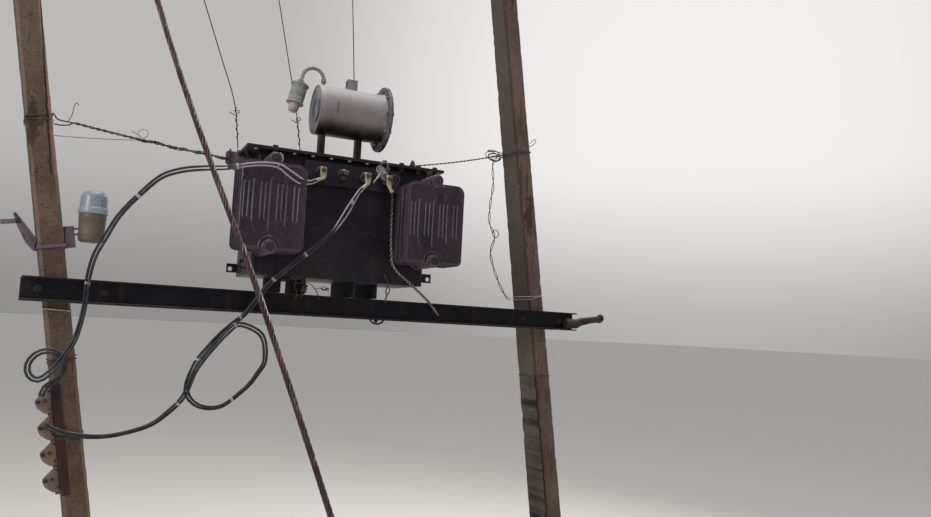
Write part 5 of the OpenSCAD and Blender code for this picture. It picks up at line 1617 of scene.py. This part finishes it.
# %% [markdown]
# The tie bolts draw the two beams together on the poles. Their heads stand on washers at the front, and
# their threaded ends stick out at the back.

# %% Tie bolts
TIE_Y = pole_depth(BEAM_LOW) / 2 + 0.005
TIE_Z = (BEAM_LOW + BEAM_TOP) / 2
TIE_ACROSS = 0.026
TIE_SHANK = 0.0078
RIGHT_AT_BEAM = RIGHT_FOOT - BEAM_LOW * math.tan(RIGHT_LEAN)
TIE_TAIL = 0.026
TIE_X = (LEFT_AT_BEAM - 0.075, LEFT_AT_BEAM + 0.18, RIGHT_AT_BEAM - 0.122, RIGHT_AT_BEAM + 0.133)
bolt_parts = []
for k, x in enumerate(TIE_X):
    bolt_parts.append(rod([(x, y, TIE_Z) for y in (-TIE_Y, 0, TIE_Y + TIE_TAIL)], TIE_SHANK, 16))
    bolt_parts += bolt(facing((x, -TIE_Y, TIE_Z), (0, -1, 0), k), TIE_ACROSS, 0.01)
    bolt_parts += bolt(facing((x, TIE_Y, TIE_Z), (0, 1, 0), 0.4 + k), TIE_ACROSS, 0.013)
piece("tie_bolts_threaded", bolt_parts, BOLT_STEEL, replaces=["tie_bolts"])

# %% [markdown]
# Thin wires come down from the insulators on the cross-arm to the high voltage bushings. They were bent by
# hand near their lower ends, where each is doubled back on itself: a second wire wound round the first,
# with an open loop.

# %% Jumper wires
JUMPER_RADIUS = 0.003
JUMPER_PITCH = 0.24
JUMPER_FIRST = -0.085
DOUBLED_FROM, DOUBLED_TO = 0.045, 0.21
HV_FAN = math.radians(20)
HV_SLANT = math.radians(45)
HV_REACH = 0.284
HV_ROOT = (0.2445, 0.5025)
ARM_WIRE = np.array((-20, 111.87, 6145.74))
ARM_PITCH = 710
FACING_ACROSS = (0.87, -0.5, 0.0)
FACING_UP = (0, 0, 1.0)


def bent(points, radius, sides=7, step=0.006):
    """A wire bent through points."""
    return rod(smooth(points, step), radius, sides)


def laid_round(line, offset, pitch, start, radius, sides=6):
    """A wire laid round a line."""
    return rod(wound(line, offset, pitch, start), radius, sides)


def small_loop(middle, radius, across, up, turns, start, drift=(0, 0, 0)):
    """An open loop of wire, whose turns don't quite close."""
    turn = start + np.linspace(0, 2 * math.pi * turns, round(22 * turns))
    grow = np.linspace(1, 1.18, len(turn))[:, None]
    away = np.outer(np.linspace(0, 1, len(turn)), drift)
    return middle + radius * grow * (np.outer(np.cos(turn), across) + np.outer(np.sin(turn), up)) + away


def jumper_line(i):
    """From the cross-arm to the end of a high voltage bushing, which leans back and fans out to the side."""
    top = ARM_WIRE + (ARM_PITCH * i, 0, 0)
    reach = HV_REACH * math.cos(HV_FAN * i)
    tip = tank_point(JUMPER_FIRST + JUMPER_PITCH * i + HV_REACH * math.sin(HV_FAN * i),
                     HV_ROOT[0] + reach * math.sin(HV_SLANT), HV_ROOT[1] + reach * math.cos(HV_SLANT)) / MM
    points = [top, top + (6, 60, -6), top + (16, 110, -60), top + (40, 150, -500),
              (top + tip) / 2 + (20, 90, 0), tip + (-30, 30, 260), tip + (-4, 6, 60), tip]
    return smooth(smooth(points, 320) * MM, 0.02)


jumper_parts = []
for i in (-1, 0, 1):
    line = jumper_line(i)
    from_tip = lengths(line)[-1] - lengths(line)
    doubled = smooth(line[(from_tip < DOUBLED_TO) & (from_tip > DOUBLED_FROM)], 0.006)
    knot = line[int(np.argmin(abs(from_tip - DOUBLED_TO)))]
    knot_loop = small_loop(knot + (0.008, 0, 0.004), 0.011, FACING_ACROSS, FACING_UP, 1.2, 2.6 + i,
                           (0, 0, -0.02))
    stub = [knot + (0, 0, -0.03), knot + (-0.014, 0, -0.024), knot + (-0.032, 0.004, -0.014)]
    jumper_parts += [rod(line, JUMPER_RADIUS, 8), laid_round(doubled, 0.0052, 0.05, i, 0.0023, 7),
                     rod(knot_loop, 0.0023, 7), bent(stub, 0.0022)]
piece("hv_jumper_wires", jumper_parts, TIE_WIRE, replaces=["hv_jumpers"], sharp=60)

# %% [markdown]
# Twisted tie wires hold the tank to the poles. Each is a pair of wires that splits before the pole, and
# their ends are left long and curl up. A loop of wire round a pole is a rounded rectangle in the pole's own
# leaning frame.

# %% Helpers for tie wires
TIE_RADIUS = 0.003
TIE_OFFSET = 0.0034
TIE_PITCH = 0.055
TIE_SAG = 0.008
TIE_POINTS = 90
LOOP_CORNER = 0.012
LOOP_OUT = 0.0032
LOOP_GAP = 0.0075


def sagging(start, end, sag, count):
    share = np.linspace(0, 1, count)[:, None]
    return start + share * (end - start) - 4 * sag * share * (1 - share) * np.array((0, 0, 1.0))


def twisted(line, offset=TIE_OFFSET, radius=TIE_RADIUS, pitch=TIE_PITCH):
    """Two wires wound round each other."""
    fine = smooth(line, pitch / 10)
    return [laid_round(fine, offset, pitch, turn, radius) for turn in (0, math.pi)]


def pole_loop(side, z, tilt):
    """A wire loop that lies on the four faces of a pole."""
    half_wide = POLE_WIDTH / 2 - LOOP_CORNER
    half_deep = pole_depth(z) / 2 - LOOP_CORNER
    reach = LOOP_CORNER + LOOP_OUT
    points = []
    for k, (sx, sy) in enumerate(((1, -1), (1, 1), (-1, 1), (-1, -1))):
        for a in np.linspace(-QUARTER, 0, 5) + k * QUARTER:
            x, y = sx * half_wide + reach * math.cos(a), sy * half_deep + reach * math.sin(a)
            points.append((x, y, tilt * x))
    points.append(points[0])
    place = on_pole(side, z)
    return np.array([place @ Vector(p) for p in points])


def pole_tie(side, z, turns, radius, tilt=0.06):
    """Some turns of wire round a pole, each a little askew."""
    return [rod(pole_loop(side, z + LOOP_GAP * k, tilt * (1 - 1.4 * (k % 2))), radius, 7)
            for k in range(turns)]


print("a loop round a pole has", len(pole_loop("left", BEAM_TOP, 0)), "points")


# %% [markdown]
# The left wire goes from two turns round the pole to a wrap round the tank's lifting lug. Two more pairs of
# thin wire are laid round parts of it, and short ends stand off beside the pole and halfway along.

# %% Left tie wire
LEFT_TIE_START = np.array((-0.4891, -0.05, 3.177))
LEFT_TIE_END = tank_point(-0.5223, -0.0095, 0.548)
SPLIT_AT = 9
LEFT_STRANDS = ([(-498, -56, 3195), (-487, -52, 3186), (-476, -50, 3172), (-436, -49, 3168)],
                [(-488, -56, 3149), (-466, -50, 3149), (-430, -49, 3156)])
LEFT_CURLS = ([(-438, -49, 3166), (-424, -52, 3200), (-418, -54, 3240), (-410, -52, 3256), (-402, -50, 3246)],
              [(-182, -38, 3172), (-165, -40, 3166), (-152, -42, 3160), (-140, -38, 3150)])
THIN_CURL = 0.0016
THIN_LOOP = 0.0013
WRAP_X, WRAP_Z = -0.522, 0.548
left_tie = sagging(LEFT_TIE_START, LEFT_TIE_END, TIE_SAG, TIE_POINTS)
tie_parts = twisted(left_tie[SPLIT_AT:])
for first, last, start in ((40, 66, 0.4), (70, 89, 2.0)):
    thick = smooth(left_tie[first:last], 0.008)
    tie_parts.append(laid_round(thick, 0.0072, 0.12, start, 0.0026))
    tie_parts.append(laid_round(thick, 0.0085, 0.19, start + 2, 0.002))
for way in LEFT_STRANDS:
    tie_parts.append(bent(in_metres(way) + [left_tie[SPLIT_AT], left_tie[14]], TIE_RADIUS, step=0.01))
for way in LEFT_CURLS:
    tie_parts.append(bent(in_metres(way), THIN_CURL, 6))
thin_loop = small_loop(np.array((-0.133, -0.04, 3.168)), 0.019, (1, 0, 0.1), (0.1, 0, 1), 0.85, -2.2)
lower_wire = sagging(np.array((-0.481, 0.05, 3.12)), np.array((-0.13, -0.03, 3.142)), 0.004, 12)
tie_parts += [rod(thin_loop, THIN_LOOP, 6), rod(lower_wire, THIN_LOOP, 6)]
tie_parts += pole_tie("left", 3.172, 1, 0.002) + pole_tie("left", 3.155, 1, THIN_CURL, -0.05)
wrap_turn = [(math.cos(a), math.sin(a)) for a in np.linspace(0, 2 * math.pi, 30)]
lug_wrap = [tank_point(WRAP_X + 0.0045 * c, 0.011 * c, WRAP_Z + 0.049 * s) for c, s in wrap_turn]
tie_parts += [rod(np.array(lug_wrap) + (0, aside, 0), TIE_RADIUS, 6) for aside in (-0.006, 0, 0.006)]

# %% [markdown]
# The right wire is hooked round the earth stud, and ends in a bunch of loops where it meets the right pole.

# %% Right tie wire
RIGHT_TIE_START = tank_point(0.3491, -0.2, 0.6003)
RIGHT_TIE_END = np.array((1.8162, 0.06, 3.39))
HOOK_RADIUS = 0.0118
BUNCH = np.array((1.75, 0.07, 3.372))
BUNCH_LOOPS = ((0.046, 1.3, 0.4), (0.036, 1.6, 2.0), (0.024, 1.4, 4.1))
FREE_END = [(1912, -70, 3430), (1940, -78, 3446), (1962, -70, 3474), (1956, -60, 3482), (1924, -66, 3452)]
right_tie = sagging(RIGHT_TIE_START, RIGHT_TIE_END, TIE_SAG, TIE_POINTS)
tie_parts += twisted(right_tie[6:], 0.0024, 0.002, 0.07)
hook = [tank_point(STUD_X + HOOK_RADIUS * math.cos(a), HOOK_RADIUS * math.sin(a) - STUD_Y, 0.6003)
        for a in np.linspace(0, 2 * math.pi, 25)]
hook_end = [hook[0], right_tie[2], right_tie[4], right_tie[8]]
tie_parts += [rod(hook, 0.0036, 8), bent(hook_end, TIE_RADIUS, step=0.01)]
for k, (radius, turns, start) in enumerate(BUNCH_LOOPS):
    middle = BUNCH + (0.012 * k, 0.006 * k - 0.01, -0.006 * k)
    tie_parts.append(rod(small_loop(middle, radius, (0.98, 0.1, 0.16), (-0.16, 0.3, 0.6), turns, start,
                                    (0.02, 0.01, 0.012)), 0.0021, 7))
for k in range(3):
    way = [BUNCH + (-0.02, 0, 0.03 - 0.02 * k), BUNCH + (0.03, 0.004 * k, 0.034 - 0.012 * k),
           np.array((1.832, 0.058, 3.398 - 0.012 * k))]
    tie_parts.append(bent(way, 0.0026, step=0.008))
tie_parts.append(bent(in_metres(FREE_END), 0.002, step=0.008))
tie_parts += pole_tie("right", 3.388, 2, 0.002, 0.04)
piece("twisted_tie_wires", tie_parts, TIE_WIRE, replaces=["tie_wires"], sharp=60)

# %% [markdown]
# More rounds of wire sit on the poles further down, and a pair of thin wires hangs along the right pole
# from the bunch to the beam. They are bought by the coil and bent by hand, so no two of them lie alike.

# %% Wires on the poles
EARTH_WAY = [(1793, 66, 3388), (1768, 74, 3330), (1778, 76, 3212), (1766, 78, 3100), (1765, 78, 2998),
             (1786, 76, 2950), (1803, 74, 2905), (1782, 76, 2824), (1806, 78, 2740), (1850, 78, 2650),
             (1900, 76, 2576), (1930, 74, 2560)]
earth_line = smooth(in_metres(EARTH_WAY), 0.012)
earth_loop = small_loop(np.array((1.806, 0.07, 2.93)), 0.02, (0.96, 0.1, 0.2), (-0.2, 0, 0.97), 1.1, 2.4)
pole_wires = []
for side, z, turns, tilt in (("left", 2.154, 3, 0.1), ("left", 1.85, 1, 0.1), ("right", 2.135, 1, -0.08)):
    pole_wires += pole_tie(side, z, turns, 0.0021, tilt)
pole_wires += [laid_round(earth_line, 0.0052, 0.17, turn, 0.0022) for turn in (0.5, 0.5 + math.pi)]
pole_wires.append(rod(earth_loop, 0.0022, 6))
piece("wires_on_poles", pole_wires, TIE_WIRE, sharp=60)

# %% [markdown]
# The strut of the left bracket is an angle. Its flange stands on the front of the plate that the solids
# already have.

# %% Flange of the left bracket
STRAP_LEVEL = BEAM_TOP + 0.131
STRAP_OUT = 0.006
FLANGE_OUTLINE = [(0, -14), (4, 38), (-60, 150), (-66, 150), (-72, 147), (-64, 100), (-38, 22), (-12, -14)]
strap_face = on_pole("left", STRAP_LEVEL) @ shift(-POLE_WIDTH / 2 - STRAP_OUT, -0.057, 0)
flange_place = strap_face @ spin(QUARTER, "X")
piece("left_bracket_flange", [plate(FLANGE_OUTLINE, 0.005, flange_place, MM)], BRACKET_STEEL)

# %% [markdown]
# A light wire is bound round the upper hub of the left radiator, a pair of them hangs from the fourth
# bushing, and there are a few more rounds on the poles. Three dark wires are wound round the hanging pair.

# %% Loose wires
HUB_TIE_RADIUS = 0.029
HUB_TIE_Y = -TANK_WALL - PANEL_LAST - 0.022
HUB_Z = HEADER_LOW + HEADER_PITCH
LUG_WAY = [(966, -328, 3020), (962, -345, 2900), (964, -350, 2780), (972, -350, 2704), (980, -345, 2668),
           (1012, -335, 2634), (1062, -315, 2604), (1124, -285, 2570), (1240, -220, 2510), (1360, -125, 2440)]
hub_tie = [tank_point(HUB_TIE_RADIUS * math.cos(a) - RADIATOR_X, HUB_TIE_Y - 0.004 * math.sin(3 * a),
                      HUB_Z + HUB_TIE_RADIUS * math.sin(a)) for a in np.radians(np.linspace(62, -66, 20))]
hub_tie.append(tank_point(0.004 - RADIATOR_X, HUB_TIE_Y - 0.03, HUB_Z - 0.04))
lug_line = smooth(in_metres(LUG_WAY), 0.01)
loose_wires = [bent(hub_tie, 0.0019)]
loose_wires += pole_tie("left", 2.368, 1, 0.0032, -0.22) + pole_tie("right", 2.575, 2, 0.0024, 0.12)
loose_wires += [laid_round(lug_line, 0.0036, 0.045, turn, 0.0022) for turn in (0, math.pi)]
piece("loose_wires", loose_wires, PALE_WIRE, sharp=60)
dark_wires = [laid_round(lug_line, 0.0056, 0.07, turn, 0.0021) for turn in (0.8, 2.9, 5.0)]
piece("dark_wires", dark_wires, SHEATH_DARK, sharp=60)

# %% [markdown]
# A tangle of bare strands is left at the fourth bushing and at the cover's edge above it. Each is a small
# open loop, and the loops turn and wander by the sine of their number, so that no two lie alike.

# %% Tangle at the bushing
TANGLE = np.array((0.965, -0.33, 3.064))
EDGE_TANGLE = np.array((0.915, -0.31, 3.116))
THIRD_LUG = np.array((0.868, -0.325, 3.045))
TANGLE_LOOPS, EDGE_LOOPS = 8, 7
tangle, edge_tangle = [], []
for k in range(TANGLE_LOOPS + EDGE_LOOPS):
    tilt = 0.9 * k
    across = (math.cos(tilt), 0.3 * math.sin(2 * tilt), math.sin(tilt))
    up = (-math.sin(tilt), 0.35, math.cos(tilt))
    middle, bunch = (TANGLE, tangle) if k < TANGLE_LOOPS else (EDGE_TANGLE, edge_tangle)
    middle = middle + (0.02 * math.sin(3.1 * k), 0.01 * math.cos(2.3 * k), 0.022 * math.cos(1.7 * k))
    loop = small_loop(middle, 0.012 + 0.003 * (k % 4), across, up, 1.2, 1.3 * k, (0.006, 0, -0.01))
    bunch.append(rod(loop, 0.0014, 5))
for k in (0, 1):
    lead = [THIRD_LUG + (0, 0, 0.008 * k), (THIRD_LUG + EDGE_TANGLE) / 2 + (0.006 * k, 0, 0.004),
            EDGE_TANGLE + (0, 0, 0.014 * k)]
    edge_tangle.append(bent(lead, 0.0019, 6))
piece("bushing_tangle", tangle, TIE_WIRE, sharp=60)
piece("edge_tangle", edge_tangle, PALE_WIRE, sharp=60)

# %% [markdown]
# Odds and ends hang under the tank: a turned bobbin in a tangle of wire at the left channel, a rusty shackle
# by the right one and a wire clamp under the beam. The wires and the shackle are rods through a few points,
# given in millimetres: across and up in the tank's own frame, just in front of its wall.

# %% Fittings under the tank
UNDER_Y = -0.206
TANGLE_WAYS = [[(-240, 2), (-222, -10), (-196, -6), (-170, -20), (-141, -30), (-118, -52), (-104, -78),
                (-98, -98)],
               [(-212, -14), (-218, -40), (-204, -74), (-210, -98)],
               [(-168, -24), (-160, -50), (-172, -78), (-184, -97)],
               [(-236, -4), (-210, 4), (-186, 2), (-166, -12)],
               [(-120, -52), (-96, -44), (-70, -50), (-56, -44)]]
UNDER_LOOPS = ((-78, -44, 0.012), (-62, -48, 0.009), (-196, -18, 0.016))
BOBBIN = [(0, 0), (15, 0), (16, 2), (16, 5), (11, 8), (10.5, 14), (12.5, 18), (10.5, 22), (11, 28), (16, 31),
          (16, 34), (15, 36), (0, 36)]
SHACKLE = (([(221, 44), (226, 26), (238, 8), (240, -8)], 0.0035),
           ([(240, -6), (248, -24), (246, -44), (236, -52), (230, -40), (234, -22), (240, -10)], 0.0032),
           ([(238, -48), (236, -62), (230, -80), (232, -92)], 0.0038))
CLAMP_X = 1.012
CLAMP = [(-38, 12, 4), (-26, 6, -14), (0, 4, -21), (26, 6, -13), (38, 12, 4)]


def under_tank(points):
    return [tank_point(x * MM, UNDER_Y, z * MM) for x, z in points]


under_wires = [bent(under_tank(way), 0.0022, 6) for way in TANGLE_WAYS]
for x, z, radius in UNDER_LOOPS:
    ring = small_loop(under_tank([(x, z)])[0], radius, (0.99, -0.08, 0.1), (-0.1, 0.1, 0.6), 1.2, x)
    under_wires.append(rod(ring, 0.0018, 6))
piece("wires_under_tank", under_wires, TIE_WIRE, sharp=60)
bobbin_place = on_tank(-0.176, UNDER_Y, -0.068) @ spin(math.radians(12), "Y")
piece("wire_bobbin", [moved(lathe(BOBBIN, 28), bobbin_place)], BUSHING_DARK)
shackle = [bent(under_tank(way), radius, 8) for way, radius in SHACKLE]
piece("rusty_shackle", shackle, RUSTY_STEEL, sharp=60)

BEAM_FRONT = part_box("front_beam")[0].y
clamp_way = [point + (CLAMP_X, BEAM_FRONT, BEAM_LOW) for point in in_metres(CLAMP)]
clamp_parts = [bent(clamp_way, 0.005, 8)]
clamp_parts += bolt(facing((CLAMP_X, BEAM_FRONT + 0.02, BEAM_LOW), (0, 0, -1), 0.3), 0.018, 0.008, 0.008)
piece("beam_wire_clamp", clamp_parts, BOLT_STEEL, sharp=60)

# %% [markdown]
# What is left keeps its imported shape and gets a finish: its material slots are filled, one finish for each
# group of solids. Nothing about their place or shape changes.

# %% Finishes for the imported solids
SOLIDS_OF = (
    (BEAM_PAINT, "front_beam rear_beam"), (CHANNEL_PAINT, "base_channel_left"),
    (RIGHT_CHANNEL_PAINT, "base_channel_right"), (TANK_PAINT, "tank wall_stiffener lv_pocket hv_pocket"),
    (COVER_PAINT, "tank_rim cover pulling_lugs"),
    (BRACKET_STEEL, "lifting_lugs pole_strap left_bracket right_bracket fuse_board"),
    (LEG_PAINT, "conservator_legs"), (PIPE_PAINT, "filler_box"),
    (RUSTY_STEEL, "arm_clamps stay_clamp stay_anchor"),
    (GALVANISED, "cross_arm insulator_pins"), (BROWN_GLAZE, "pin_insulators hv_bushings"),
    (TINNED, "hv_terminals"), (GAUGE_FACE, "oil_gauge"))
CAD_FINISH = {node: finish for finish, nodes in SOLIDS_OF for node in nodes.split()}
for node, finish in CAD_FINISH.items():
    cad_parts[node].data.materials.clear()
    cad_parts[node].data.materials.append(finish)
left_plain = [n for n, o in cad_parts.items() if not o.hide_render and n not in CAD_FINISH]
print("packed solids with a finish:", len(CAD_FINISH), "left plain:", left_plain)

# %% [markdown]
# The stage is a plain pale floor under a soft, even light. The light behind the object is stronger than in
# front of it, as at a bright window, so that edges catch it while the faces towards the camera stay deep in
# colour.

# %% Floor
FLOOR_HALF = 400
FLOOR_COLOUR = (0.78, 0.76, 0.74, 1)
bpy.context.scene.view_settings.view_transform = "Standard"
floor_mesh = bpy.data.meshes.new("floor")
corners = [(x * FLOOR_HALF, y * FLOOR_HALF, 0) for x, y in ((-1, -1), (1, -1), (1, 1), (-1, 1))]
floor_mesh.from_pydata(corners, [], [(0, 1, 2, 3)])
floor = bpy.data.objects.new("floor", floor_mesh)
bpy.context.scene.collection.objects.link(floor)
floor_material, _, floor_shader = new_material("floor", 0.9, 0.1)
floor_shader.inputs["Base Color"].default_value = FLOOR_COLOUR
floor_mesh.materials.append(floor_material)
floor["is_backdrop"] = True
print("floor:", 2 * FLOOR_HALF, "m wide")

# %% [markdown]
# The surroundings shine from everywhere, more towards one side behind the object, and least near the
# horizon. Three soft lights add to that: a warm key light from behind, a weak one from the left and a broad
# one from above.

# %% Surroundings and lights
GLOW_SIDE = Vector((0.69, 0.67, 0.27)).normalized()
WARM_WHITE = (1.0, 0.985, 0.965, 1)
PLATFORM = Vector((0.8, 0, 2.9))
world = bpy.data.worlds.new("studio")
bpy.context.scene.world = world
world.use_nodes = True
sky = world.node_tree
background = next(n for n in sky.nodes if n.type == "BACKGROUND")
direction = sky.nodes.new("ShaderNodeTexCoord").outputs["Generated"]
towards = sky.nodes.new("ShaderNodeVectorMath")
towards.operation = "DOT_PRODUCT"
towards.inputs[1].default_value = GLOW_SIDE
sky.links.new(direction, towards.inputs[0])
wide_glow = ramp(sky, towards.outputs["Value"], -0.6, 0.85, 0.34, 0.5)
near_glow = ramp(sky, towards.outputs["Value"], 0.87, 1.0, 0.0, 0.38)
haze = ramp(sky, split(sky, direction)["Z"], 0.0, 0.22, 0.56, 1.0)
glow = maths(sky, "MULTIPLY", maths(sky, "ADD", wide_glow, near_glow), haze)
join(sky, glow, background.inputs["Strength"])
background.inputs["Color"].default_value = WARM_WHITE


def soft_light(name, place, size, power, colour=(1, 1, 1)):
    """A square light that looks at the platform."""
    light = bpy.data.lights.new(name, "AREA")
    light.shape = "SQUARE"
    light.size = size
    light.energy = power
    light.color = colour
    made = bpy.data.objects.new(name, light)
    made.matrix_world = facing(place, Vector(place) - PLATFORM)
    bpy.context.scene.collection.objects.link(made)


soft_light("key", (6.5, 1.5, 6.0), 3.0, 420, (1, 0.95, 0.88))
soft_light("side", (-4.5, -2.5, 4.6), 1.6, 120)
soft_light("top", (0.5, -0.5, 9.5), 5.0, 380)

# %% [markdown]
# The last step measures how far the dressed object reaches past the imported one's box, and prints it.

# %% Sizes
full_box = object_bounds()
print("triangles added:", sum(triangles_made.values()))
grown = [round((b - a) / MM, 1) for c, d in zip(CAD_BOX, full_box) for a, b in zip(c, d)]
print("box grew by", grown, "mm")
